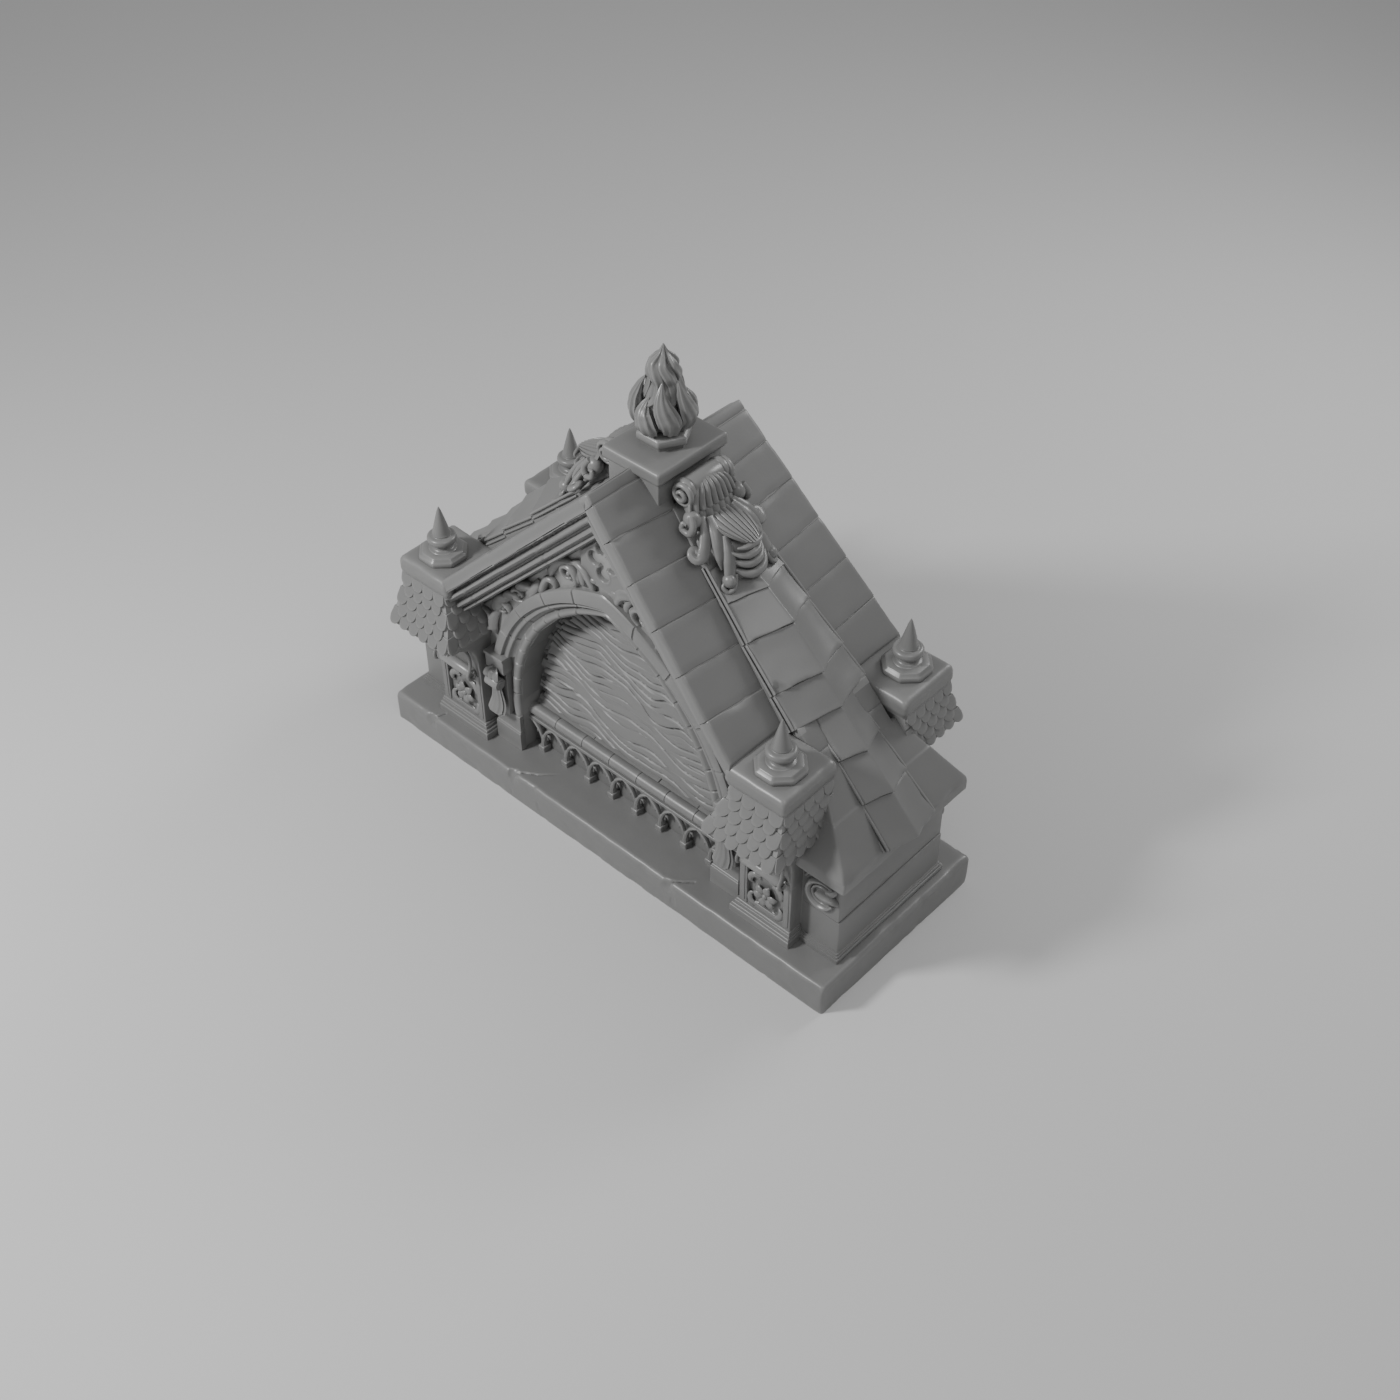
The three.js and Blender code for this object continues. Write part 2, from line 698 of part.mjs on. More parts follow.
// Turned finial on its eight-sided block, as radius and height above the cap.
const finialBlock = [[126, 0], [126, 26], [112, 36], [108, 44]];
const finialNeck = [[62, 30], [50, 52], [48, 78], [67, 90], [67, 114], [50, 126], [44, 138]];

function finialSolid() {
  const base = capSize.top + contactGap;
  const block = loft(finialBlock.map(([radius, up]) => {
    return polygon(8, radius, 0.5, finialAt.x, -finialAt.y, base + up);
  }));
  const stem = finialNeck.map(([radius, up]) => [radius, base + up]);
  const profile = [[0, stem[0][1]], ...stem, [0, finialAt.tip]];
  return joined([block, turned(profile, 8, finialAt.x, -finialAt.y)]);
}

// A level ring of points, turned by a part of its own step.
function polygon(sides, radius, turn, x, y, z) {
  const ring = [];
  for (let i = 0; i < sides; i += 1) {
    const angle = ((i + turn) * 2 * Math.PI) / sides;
    ring.push(point(x + Math.cos(angle) * radius, y + Math.sin(angle) * radius, z));
  }
  return ring;
}

// Cap stone across the ridge, with the block under it.
function topCapSolid() {
  const ring = (inset, z) => rectangle(
    -topCap.x + inset, topCap.x - inset, -topCap.y + inset, topCap.y - inset, z,
  );
  const plate = loft([
    ring(10, topCap.bottom), ring(0, topCap.bottom + 12), ring(0, topCap.top - 22),
    ring(6, topCap.top - 6), ring(20, topCap.top),
  ]);
  const block = box(-topBlock.x, topBlock.x, -topBlock.y, topBlock.y, topBlock.bottom, topCap.bottom + 5);
  return cutBy(joined([plate, block]), [bodyEnvelope(contactGap)]);
}

// The flame: six-sided plinth, twisted core and a ring of bulging tongues.
// Plinth and core are radius and height above the cap; tongues are reach, half width and height.
const flamePlinth = [[104, 0], [104, 22], [118, 26], [118, 46], [104, 56]];
const flameCore = [[60, 50], [104, 92], [108, 160], [82, 240], [72, 300], [82, 345], [76, 385], [42, 440]];
const flameTongue = [[66, 30, 50], [104, 46, 92], [118, 48, 170], [108, 27, 256], [86, 3, 326]];
const tongueCount = 7;

function flameSolid() {
  const base = topCap.top + contactGap;
  const plinth = loft(flamePlinth.map(([radius, up]) => polygon(6, radius, 0, 0, 0, base + up)));
  const core = loft([...flameCore, [5, flameTip - base]].map(([radius, up]) => {
    const ring = polygon(6, radius, up * 0.004, 0, 0, base + up);
    return ring.map((p, i) => (i % 2 === 0 ? p : point(p.x * 0.84, p.y * 0.84, p.z)));
  }));
  const parts = [plinth, core];
  for (let k = 0; k < tongueCount; k += 1) {
    const angle = (k * 2 * Math.PI) / tongueCount + 0.2;
    const tall = k % 2 === 0 ? 1.03 : 0.8;
    parts.push(loft(flameTongue.map(([reach, width, up]) => {
      const section = [[reach + width * 0.62, 0], [reach, width], [reach - width * 0.62, 0], [reach, -width]];
      return section.map(([out, along]) => point(
        Math.cos(angle) * out - Math.sin(angle) * along,
        Math.sin(angle) * out + Math.cos(angle) * along,
        base + up * tall,
      ));
    })));
  }
  return joined(parts);
}

// Acanthus bracket lying on the slope below the cap: a shell roll, leaves and curled ends.
function slopeBall({ s, y, n, size }) {
  const geometry = new THREE.SphereGeometry(1, 6, 3);
  geometry.scale(...size);
  geometry.rotateY(Math.PI / 4);
  const at = onSlope(s, y, n);
  geometry.translate(at.x, at.y, at.z);
  return solid(geometry);
}

function slopeLeaf(points, width, depth) {
  const curve = new THREE.CatmullRomCurve3(points.map(([s, y, n]) => onSlope(s, y, n)));
  const steps = points.length;
  const up = point(Math.SQRT1_2, 0, Math.SQRT1_2);
  const rings = [];
  for (let i = 0; i <= steps; i += 1) {
    const t = i / steps;
    const at = curve.getPoint(t);
    const side = curve.getTangent(t).cross(up).normalize();
    const half = (width / 2) * (0.35 + 0.65 * Math.sin(Math.PI * (0.12 + 0.83 * t)));
    const section = [[-half, 0], [0, depth], [half, 0], [0, -0.9 * depth]];
    rings.push(section.map(([a, b]) => at.clone().addScaledVector(side, a).addScaledVector(up, b)));
  }
  return loft(rings);
}

// A leaf blade whose top is crowned and folded into flutes.
function flutedBlade(rows, flutes) {
  const floor = -20;
  const rings = rows.map(({ s, half, n, fold }) => {
    const top = [];
    for (let i = 0; i <= flutes * 2; i += 1) {
      const t = i / (flutes * 2);
      const crown = Math.sin(Math.PI * t) * half * 0.28;
      top.push(onSlope(s, -half + 2 * half * t, n + crown + (i % 2 === 0 ? -fold : fold)));
    }
    return [...top, onSlope(s, half, floor), onSlope(s, -half, floor)];
  });
  return loft(rings);
}

const acanthusRoll = { s: 212, n: 105, radius: 55, length: 262 };
const shellRows = [
  { s: 208, half: 92, n: 148, fold: 5 },
  { s: 262, half: 118, n: 132, fold: 11 },
  { s: 320, half: 136, n: 82, fold: 13 },
];
const lipRows = [
  { s: 300, half: 112, n: 92, fold: 4 },
  { s: 366, half: 122, n: 66, fold: 8 },
];
const tongueRows = [
  { s: 350, half: 66, n: 84, fold: 6 },
  { s: 550, half: 88, n: 158, fold: 11 },
  { s: 612, half: 104, n: 106, fold: 8 },
  { s: 690, half: 98, n: 84, fold: 5 },
];
const acanthusBalls = [
  { s: 338, y: 146, n: 84, size: [42, 34, 50] },
  { s: 480, y: 186, n: 62, size: [34, 32, 38] },
  { s: 648, y: 134, n: 74, size: [34, 36, 38] },
];
const sideLeaves = [
  { path: [[350, 96, 92], [430, 150, 84], [478, 186, 66]], width: 60, depth: 34 },
  { path: [[400, 66, 100], [510, 106, 96], [590, 134, 62]], width: 54, depth: 32 },
];

function acanthusSolid() {
  const { s, n, radius, length } = acanthusRoll;
  const roll = new THREE.CylinderGeometry(radius, radius, length, 8);
  const at = onSlope(s, 0, n);
  roll.translate(at.x, 0, at.z);
  const blades = [flutedBlade(shellRows, 4), flutedBlade(lipRows, 2), flutedBlade(tongueRows, 3)];
  const parts = [solid(roll), ...blades];
  for (const side of [-1, 1]) {
    parts.push(...acanthusBalls.map((ball) => slopeBall({ ...ball, y: side * ball.y })));
    parts.push(...sideLeaves.map(({ path, width, depth }) => {
      return slopeLeaf(path.map(([ls, y, ln]) => [ls, side * y, ln]), width, depth);
    }));
  }
  return cutBy(joined(parts), [ribTile(0, contactGap), slopeTool(), ...topCapTools()]);
}

// Everything under the coping's top face, with a little clearance.
function slopeTool() {
  const outline = [[0, contactGap], [1300, contactGap], [1300, -200], [0, -200]];
  return loft([-500, 500].map((y) => outline.map(([s, n]) => onSlope(s, y, n))));
}

// Assembly.
const group = new THREE.Group();

function place(name, body, look) {
  const mesh = new THREE.Mesh(toGeometry(body), new THREE.MeshStandardMaterial(look));
  mesh.name = name;
  group.add(mesh);
}

const ends = [["right", 1], ["left", -1]];
const faces = [["front", 1, 0], ["back", -1, 1]];

place("base_slab", baseSlab(), stoneLook);
place("gable_body", gableBody(), stoneLook);

const otherEnd = (body) => mirrored(body, -1, 1);
const grown = contactGap;
const eaveTool = eaveRoof(2);
const skirtTool = skirtEnvelope(22);
const capTool = box(
  capSize.inner - grown, capSize.outer + grown, -capSize.front - grown, -capSize.back + grown,
  capSize.bottom - grown, capSize.top + grown,
);
const bodyTool = bodyEnvelope(contactGap);

const carvings = [true, false];
const pierShapes = carvings.map((carved) => cutBy(pierSolid(carved), [eaveTool]));
const skirtShape = cutBy(skirtSolid(), [bodyTool, eaveTool]);
const capShape = cutBy(capSolid(), [bodyTool]);
const finialShape = finialSolid();
const corniceShape = cutBy(cornice(), [skirtTool, capTool]);
const copingShape = cutBy(coping(), [capTool, skirtTool]);

const jambZone = (inner, top) => box(inner - grown, 900, -500, -300, 100, top + grown);
const jambZones = [jambZone(impost.inner, impost.top), jambZone(jambSize.inner, jambSize.pedestalTop)];
const archShape = cutBy(archivolt(), [...jambZones, ...jambZones.map(otherEnd)]);
const jambShape = jamb();
const boardShape = boards();
const sillShape = sill();
const arcadeShapes = carvings.map(arcade);
const jambSide = box(jambSize.outer + grown, 1000, -500, -300, 600, 900);
const cornerTools = [skirtTool, jambSide, jambShape];
const spandrelTools = [...cornerTools, ...cornerTools.map(otherEnd)];
const spandrelShapes = carvings.map((carved) => cutBy(spandrel(carved), spandrelTools));

const blockShape = sideBlockSolid();
const eaveShape = cutBy(eaveRoof(0), [ribTile(narrowRib.from - 1, contactGap)]);
const acanthusShape = acanthusSolid();
const [blockTool] = topCapTools();
const eaveUnder = eaveRoof(contactGap);
const capTools = [capTool, mirrored(capTool, 1, -1)];
const tileShapes = ribSeams.slice(0, -1).map((_, i) => {
  const wideTools = [blockTool, ...capTools];
  return cutBy(ribTile(i), i < narrowRib.from ? wideTools : [eaveUnder, ribTile(i - 1, contactGap)]);
});

for (const [faceName, signY, kind] of faces) {
  for (const [endName, signX] of ends) {
    const where = `${faceName}_${endName}`;
    place(`pier_${where}`, mirrored(pierShapes[kind], signX, signY), stoneLook);
    place(`skirt_${where}`, mirrored(skirtShape, signX, signY), stoneLook);
    place(`cap_${where}`, mirrored(capShape, signX, signY), stoneLook);
    place(`finial_${where}`, mirrored(finialShape, signX, signY), stoneLook);
    place(`cornice_${where}`, mirrored(corniceShape, signX, signY), stoneLook);
    place(`coping_${where}`, mirrored(copingShape, signX, signY), stoneLook);
    place(`jamb_${where}`, mirrored(jambShape, signX, signY), stoneLook);
  }
  place(`archivolt_${faceName}`, mirrored(archShape, 1, signY), stoneLook);
  place(`boards_${faceName}`, mirrored(boardShape, 1, signY), woodLook);
  place(`sill_${faceName}`, mirrored(sillShape, 1, signY), stoneLook);
  place(`arcade_${faceName}`, mirrored(arcadeShapes[kind], 1, signY), stoneLook);
  place(`spandrel_${faceName}`, mirrored(spandrelShapes[kind], 1, signY), stoneLook);
}

for (const [endName, signX] of ends) {
  place(`side_block_${endName}`, mirrored(blockShape, signX, 1), stoneLook);
  place(`eave_roof_${endName}`, mirrored(eaveShape, signX, 1), stoneLook);
  for (let i = 0; i < ribSeams.length - 1; i += 1) {
    place(`rib_tile_${endName}_${i + 1}`, mirrored(tileShapes[i], signX, 1), stoneLook);
  }
  place(`acanthus_${endName}`, mirrored(acanthusShape, signX, 1), stoneLook);
}

place("top_cap", topCapSolid(), stoneLook);
place("flame_finial", flameSolid(), stoneLook);

export default group;
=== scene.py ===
import bpy
import bmesh
import math
import numpy as np
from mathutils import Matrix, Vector


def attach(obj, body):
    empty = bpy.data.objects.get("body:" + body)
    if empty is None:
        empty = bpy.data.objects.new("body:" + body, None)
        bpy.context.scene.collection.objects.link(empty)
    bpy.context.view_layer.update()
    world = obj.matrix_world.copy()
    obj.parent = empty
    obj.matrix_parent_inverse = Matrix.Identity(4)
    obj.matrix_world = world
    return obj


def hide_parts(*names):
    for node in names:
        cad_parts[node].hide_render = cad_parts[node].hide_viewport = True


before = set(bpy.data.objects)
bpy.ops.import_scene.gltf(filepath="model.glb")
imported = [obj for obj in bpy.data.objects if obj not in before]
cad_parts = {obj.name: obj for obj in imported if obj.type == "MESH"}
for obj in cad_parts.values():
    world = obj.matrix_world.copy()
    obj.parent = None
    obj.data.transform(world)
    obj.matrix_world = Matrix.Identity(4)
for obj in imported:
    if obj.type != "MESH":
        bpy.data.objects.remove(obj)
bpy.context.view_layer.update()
print("frame loaded, nodes:", len(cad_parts))

# sizes shared by several pieces, in metres; the front gable faces -y and the ridge runs along y
gable = {
    "apex": 2.222, "wall": 0.3854, "foot": 0.1824, "spring": 0.500,
    "copingThick": 0.060, "copingEnd": 1.322, "copingFront": 0.500, "copingFlare": 0.075,
}
ends = [("right", 1), ("left", -1)]
sides = [("front", 1), ("back", -1)]
corners = [(f"{side}_{end}", (signX, signY)) for side, signY in sides for end, signX in ends]
root2 = math.sqrt(2)


# small numpy tools

def smooth(x, low=0.0, high=1.0):
    t = np.clip((np.asarray(x, float) - low) / (high - low), 0, 1)
    return t * t * (3 - 2 * t)


def valueNoise(p, seed):
    # smooth noise between -1 and 1 at each row of p
    cell = np.floor(p).astype(np.int64)
    f = p - cell
    f = f * f * (3 - 2 * f)
    total = np.zeros(len(p))
    for corner in range(8):
        d = np.array([corner & 1, (corner >> 1) & 1, corner >> 2])
        k = (cell + d) @ np.array([374761, 668265, 982451]) + seed * 144665
        k = (k ^ (k >> 13)) * 1274126177 & 0x7FFFFFFF
        k = (k ^ (k >> 16)) & 0xFFFF
        weight = np.prod(np.where(d == 1, f, 1 - f), axis=1)
        total += weight * (k / 32767.5 - 1)
    return total


def rough(p, size, seed, octaves=2):
    total = np.zeros(len(p))
    for i in range(octaves):
        total += valueNoise(p / size * 2 ** i + 7.3 * i, seed + i) / 2 ** i
    return total


def roughAll(p, size, amount, seed):
    return p + amount * np.stack([rough(p, size, seed + k * 11) for k in range(3)], axis=1)


def lineDistance(p, path):
    # distance of each row of p from an open line, in the plane
    best = np.full(len(p), 1e9)
    for a, b in zip(path[:-1], path[1:]):
        a = np.array(a, float)
        ab = np.array(b, float) - a
        t = np.clip(((p - a) @ ab) / (ab @ ab), 0, 1)
        best = np.minimum(best, np.linalg.norm(p - a - t[:, None] * ab, axis=1))
    return best


def curveThrough(points, count):
    # Catmull-Rom curve through the points, evenly spread over the spans
    p = np.array(points, float)
    p = np.vstack([2 * p[0] - p[1], p, 2 * p[-1] - p[-2]])
    t = np.linspace(0, len(p) - 3 - 1e-9, count)
    i = t.astype(int)
    f = (t - i)[:, None]
    a, b, c, d = p[i], p[i + 1], p[i + 2], p[i + 3]
    second = 2 * a - 5 * b + 4 * c - d
    third = 3 * b - a - 3 * c + d
    return 0.5 * (2 * b + (c - a) * f + second * f ** 2 + third * f ** 3)


def unit(v):
    return v / np.maximum(np.linalg.norm(v, axis=-1, keepdims=True), 1e-12)


def circle(count):
    # angles once round, without the last
    return np.arange(count) / count * 2 * np.pi


# a part is (vertices, quads, caps); a piece is one or more parts

def quadsOf(index, wrap=False):
    if wrap:
        index = np.hstack([index, index[:, :1]])
    return np.stack([index[:-1, :-1], index[:-1, 1:], index[1:, 1:], index[1:, :-1]], -1).reshape(-1, 4)


def rimOf(index):
    # the border of a grid, once round
    return np.concatenate([index[:-1, 0], index[-1, :-1], index[:0:-1, -1], index[0, :0:-1]])


def wallQuads(high, low):
    return np.stack([high, np.roll(high, -1), np.roll(low, -1), low], -1)


def loftRings(rings):
    rings = np.array(rings)
    count, points = rings.shape[:2]
    index = np.arange(count * points).reshape(count, points)
    caps = [index[0][::-1].tolist(), index[-1].tolist()]
    return rings.reshape(-1, 3), quadsOf(index, wrap=True), caps


def wornRings(rings, size, amount, seed):
    rings = np.array(rings)
    return roughAll(rings.reshape(-1, 3), size, amount, seed).reshape(rings.shape)


def sheetGrid(points, depth):
    # closed block under a grid of points; depth moves the rim to the flat back
    points = np.array(points)
    rows, cols = points.shape[:2]
    index = np.arange(rows * cols).reshape(rows, cols)
    rim = rimOf(index)
    top = points.reshape(-1, 3)
    low = np.arange(len(rim)) + rows * cols
    quads = np.vstack([quadsOf(index), wallQuads(rim, low)])
    return np.vstack([top, top[rim] + depth]), quads, [low[::-1].tolist()]


def strand(points, width, height, up, count=24, sides=10, flutes=0, fluteDepth=0.2, profile=None):
    # a tapering limb along a curve: width lies across, height along up
    path = curveThrough(points, count)
    t = np.linspace(0, 1, count)
    along = unit(np.gradient(path, axis=0))
    across = unit(np.cross(along, np.broadcast_to(np.array(up, float), along.shape)))
    rise = np.cross(across, along)
    if profile is None:
        size = np.sin(np.pi * np.clip(0.12 + 0.86 * t, 0, 1)) ** 0.6
    else:
        size = np.interp(t, np.linspace(0, 1, len(profile)), profile)
    size = np.maximum(size, 0.04)
    angle = circle(sides)
    fold = 1 + (fluteDepth * np.cos(flutes * angle) if flutes else 0) * np.ones(sides)
    a = np.cos(angle) * fold
    b = np.sin(angle) * fold
    rings = path[:, None] + size[:, None, None] * (
        across[:, None] * (a * width / 2)[None, :, None] + rise[:, None] * (b * height / 2)[None, :, None])
    return loftRings(rings)


def ball(centre, radii, rings=9, sides=12):
    polar = np.linspace(0.06, np.pi - 0.06, rings)
    angle = circle(sides)
    x = np.sin(polar)[:, None] * np.cos(angle)[None]
    y = np.sin(polar)[:, None] * np.sin(angle)[None]
    z = np.repeat(-np.cos(polar)[:, None], sides, 1)
    return loftRings(np.stack([x, y, z], -1) * np.array(radii) + np.array(centre))


def turned(profile, centre, sides):
    # profile is radius and height from the foot up
    angle = circle(sides)
    x = centre[0] + profile[:, :1] * np.cos(angle)
    y = centre[1] + profile[:, :1] * np.sin(angle)
    z = centre[2] + np.repeat(profile[:, 1:], sides, 1)
    return loftRings(np.stack([x, y, z], -1))


def rollAlongX(x0, x1, y, z, radius):
    # a roll with a raised disc on each end
    angle = circle(20)
    steps = [(0, 0.35), (0, 0.62), (0.003, 0.68), (0.003, 0.92), (0.006, 1.0)]
    section = [(x0 + d, r) for d, r in steps] + [(x1 - d, r) for d, r in steps[::-1]]
    across, along = radius * np.cos(angle), radius * np.sin(angle)
    return loftRings([np.stack([np.full(20, x), y + r * across, z + r * along], -1) for x, r in section])


def rimLines(length, radius, cell, extra):
    # lines across one side of a block, close together on its rounded edges
    arc = np.linspace(0, math.pi / 2, 5)
    inset = radius * (1 - np.cos(arc[::-1])[::-1])
    drop = radius * (1 - np.sin(arc))
    count = max(2, int(round((length - 2 * radius) / cell)) + 1)
    inside = list(np.linspace(radius, length - radius, count)[1:-1])
    inside = sorted(inside + [e for e in extra if radius < e < length - radius])
    kept = [inside[0]] if inside else []
    for value in inside[1:]:
        if value - kept[-1] > 0.0012:
            kept.append(value)
    at = np.concatenate([inset, kept, length - inset[::-1]])
    return at, np.concatenate([drop, np.zeros(len(kept)), drop[::-1]])


def block(place, size, depth, radius, cell=0.03, corner=0.0, extra=((), ()), wallRows=3,
          wear=0.0008, chip=0.0, seed=0, shape=None, foot=0.0):
    # a dressed stone: rounded upper edges, worn faces, chipped rims
    # place turns local (u, v, w) into the row frame; shape may change (u, v, w) first
    atU, dropU = rimLines(size[0], radius, cell, extra[0])
    atV, dropV = rimLines(size[1], radius, cell, extra[1])
    u, v = np.meshgrid(atU, atV, indexing="ij")
    a, b = np.meshgrid(dropU, dropV, indexing="ij")
    drop = np.minimum((a ** 3 + b ** 3) ** (1 / 3), radius)
    index = np.arange(u.size).reshape(u.shape)
    rim = rimOf(index)
    top = np.stack([u, v, -drop], -1).reshape(-1, 3)
    walls = []
    for k in range(1, wallRows + 1):
        row = top[rim].copy()
        row[:, 2] = -(radius + (depth - radius) * k / wallRows)
        walls.append(row)
    p = np.vstack([top] + walls)
    half = np.array(size) / 2
    if corner > 0:
        q = p[:, :2] - half
        near = np.abs(q) - (half - corner)
        both = (near > 0).all(1)
        n = near[both]
        pulled = n * (n.max(1) / np.maximum(np.linalg.norm(n, axis=1), 1e-9))[:, None]
        q[both] = np.sign(q[both]) * (half - corner + pulled)
        p[:, :2] = q + half
    if chip > 0:
        edge = np.minimum(half - np.abs(p[:, :2] - half), 10).min(1)
        rimZone = np.exp(-np.maximum(edge, 0) / (1.2 * radius))
        rimZone = rimZone * np.exp(-np.maximum(-p[:, 2] - radius, 0) / (1.5 * radius))
        bite = smooth(rough(p + seed * 3.1, 0.075, seed + 40, 3), 0.35, 0.9) * chip
        inward = np.clip((p[:, :2] - half) / np.maximum(half, 1e-6), -1, 1)
        p[:, 2] -= bite * rimZone
        p[:, :2] -= (bite * rimZone)[:, None] * 0.6 * np.sign(inward) * (np.abs(inward) > 0.8)
    if shape is not None:
        p = shape(p)
    if wear > 0:
        free = 1 - smooth(-p[:, 2], depth * 0.85, depth) if foot == 0 else np.ones(len(p))
        p = p + (roughAll(p, 0.09, wear, seed) - p) * free[:, None]
    quads = [quadsOf(index)]
    previous = rim
    for k in range(wallRows):
        low = index.size + k * len(rim) + np.arange(len(rim))
        quads.append(wallQuads(previous, low))
        previous = low
    return place(p), np.vstack(quads), [previous[::-1].tolist()]


def boxStone(low, high, radius=0.006, up=(0, 0, 1), **more):
    # a dressed block whose rounded face looks along one axis
    low, high = np.array(low, float), np.array(high, float)
    axis = int(np.argmax(np.abs(up)))
    u, v = [(1, 2), (2, 0), (0, 1)][axis]
    sign = up[axis]

    def place(p):
        out = np.zeros((len(p), 3))
        out[:, u] = low[u] + p[:, 0]
        out[:, v] = low[v] + p[:, 1]
        out[:, axis] = (high[axis] if sign > 0 else low[axis]) + sign * p[:, 2]
        return out
    return block(place, (high[u] - low[u], high[v] - low[v]), high[axis] - low[axis], radius, **more)


def onSlope(s, y, n):
    # s runs down the slope from the ridge, n stands square to it
    s, y, n = np.broadcast_arrays(s, y, n)
    return np.stack([(s + n) / root2, y, gable["apex"] + (n - s) / root2], -1)


faceOut = (0, -1, 0)


def onFace(line, y, swell=0.0):
    # a line of (x, z) points laid on the plane of a wall, bulging outward in the middle
    line = np.array(line, float)
    t = np.linspace(0, 1, len(line))
    return np.column_stack([line[:, 0], np.full(len(line), y) - swell * np.sin(np.pi * t), line[:, 1]])


def spiral(centre, radius, turns, start, hand, inner=0.28, count=9):
    t = np.linspace(0, 1, count)
    angle = start + hand * turns * 2 * np.pi * t
    r = radius * (1 - (1 - inner) * t)
    return np.stack([centre[0] + np.cos(angle) * r, centre[1] + np.sin(angle) * r], -1)


def octagon(radius, z, sides, centre, corner=0.012, start=0.5):
    # a polygon whose corners are eased by three points each
    out = []
    share = corner / radius
    for i in range(sides):
        angles = [(i + start + k) * 2 * math.pi / sides for k in (-1, 0, 1)]
        before, here, after = [np.array([math.cos(a), math.sin(a)]) for a in angles]
        for q in (here + (before - here) * share, here * (1 - 0.12 * share), here + (after - here) * share):
            out.append(q * radius)
    q = np.array(out)
    return np.column_stack([q[:, 0] + centre[0], q[:, 1] + centre[1], np.full(len(q), z)])


def addPiece(name, parts, node, material, mirror=(1, 1), sharp=42):
    verts, faces, start = [], [], 0
    for points, quads, caps in parts:
        verts.append(points)
        faces += (quads + start).tolist()
        faces += [[i + start for i in cap] for cap in caps]
        start += len(points)
    points = np.vstack(verts)
    points[:, :2] *= mirror
    mesh = bpy.data.meshes.new(name)
    mesh.from_pydata(points.tolist(), [], faces)
    work = bmesh.new()
    work.from_mesh(mesh)
    bmesh.ops.recalc_face_normals(work, faces=work.faces)
    work.to_mesh(mesh)
    work.free()
    mesh.shade_smooth()
    mesh.set_sharp_from_angle(angle=math.radians(sharp))
    piece = bpy.data.objects.new(name, mesh)
    bpy.context.scene.collection.objects.link(piece)
    mesh.materials.append(material)
    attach(piece, "root")
    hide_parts(node)


# materials

def nodeGroup(name, inputs, outputs):
    group = bpy.data.node_groups.new(name, "ShaderNodeTree")
    for label, value in inputs.items():
        kind = "NodeSocketColor" if isinstance(value, tuple) else "NodeSocketFloat"
        socket = group.interface.new_socket(name=label, in_out="INPUT", socket_type=kind)
        socket.default_value = value
    for label, kind in outputs.items():
        group.interface.new_socket(name=label, in_out="OUTPUT", socket_type=kind)
    return group, group.nodes.new("NodeGroupInput").outputs, group.nodes.new("NodeGroupOutput").inputs


def addNode(tree, kind, given=(), **settings):
    # each given input is a plain value or the output of another node
    node = tree.nodes.new("ShaderNode" + kind)
    for name, value in settings.items():
        setattr(node, name, value)
    for key, value in dict(given).items():
        if isinstance(value, bpy.types.NodeSocket):
            tree.links.new(value, node.inputs[key])
        else:
            node.inputs[key].default_value = value
    return node


def makeStoneToneGroup():
    # cloudy patches, fine speckle, edges lightened partly as wear and partly as painted highlight, and
    # painted shade in hollows
    group, given, result = nodeGroup(
        "stoneToneAndPaintedLight",
        {"Base": (0.2, 0.2, 0.2, 1), "Cloud Size": 3.0, "Cloud Amount": 0.12, "Speckle Amount": 0.06,
         "Wear And Highlight Amount": 0.25, "Painted Shade Amount": 0.35},
        {"Color": "NodeSocketColor", "Wear": "NodeSocketFloat", "Cloud": "NodeSocketFloat"})
    coords = addNode(group, "TexCoord").outputs["Object"]
    cloud = addNode(group, "TexNoise", {"Detail": 5, "Vector": coords, "Scale": given["Cloud Size"]})
    speckle = addNode(group, "TexNoise", {"Detail": 2, "Vector": coords, "Scale": 160})
    pointed = addNode(group, "NewGeometry").outputs["Pointiness"]
    # edge mask from pointiness: lighter colour on arrises, partly wear and partly a painted highlight; it
    # also makes edges glossier
    wear = addNode(group, "MapRange", {"From Min": 0.515, "From Max": 0.62, "Value": pointed})
    # hollow mask from pointiness: painted shade that darkens creases, joints and recesses
    paintedShade = addNode(group, "MapRange", {"From Min": 0.485, "From Max": 0.40, "Value": pointed})
    total = 1.0
    # colour is scaled up by cloud, speckle and the edge wear with painted highlight, and down by the painted
    # shade in hollows
    for source, amount, middle, join in [
            (cloud.outputs["Fac"], "Cloud Amount", 0.5, "ADD"),
            (speckle.outputs["Fac"], "Speckle Amount", 0.5, "ADD"),
            (wear.outputs["Result"], "Wear And Highlight Amount", 0.0, "ADD"),
            (paintedShade.outputs["Result"], "Painted Shade Amount", 0.0, "SUBTRACT")]:
        centred = addNode(group, "Math", {0: source, 1: middle}, operation="SUBTRACT")
        share = addNode(group, "Math", {0: centred.outputs[0], 1: given[amount]}, operation="MULTIPLY")
        total = addNode(group, "Math", {0: total, 1: share.outputs[0]}, operation=join).outputs[0]
    shade = addNode(group, "VectorMath", {0: given["Base"], "Scale": total}, operation="SCALE")
    group.links.new(shade.outputs["Vector"], result["Color"])
    group.links.new(wear.outputs["Result"], result["Wear"])
    group.links.new(cloud.outputs["Fac"], result["Cloud"])
    return group


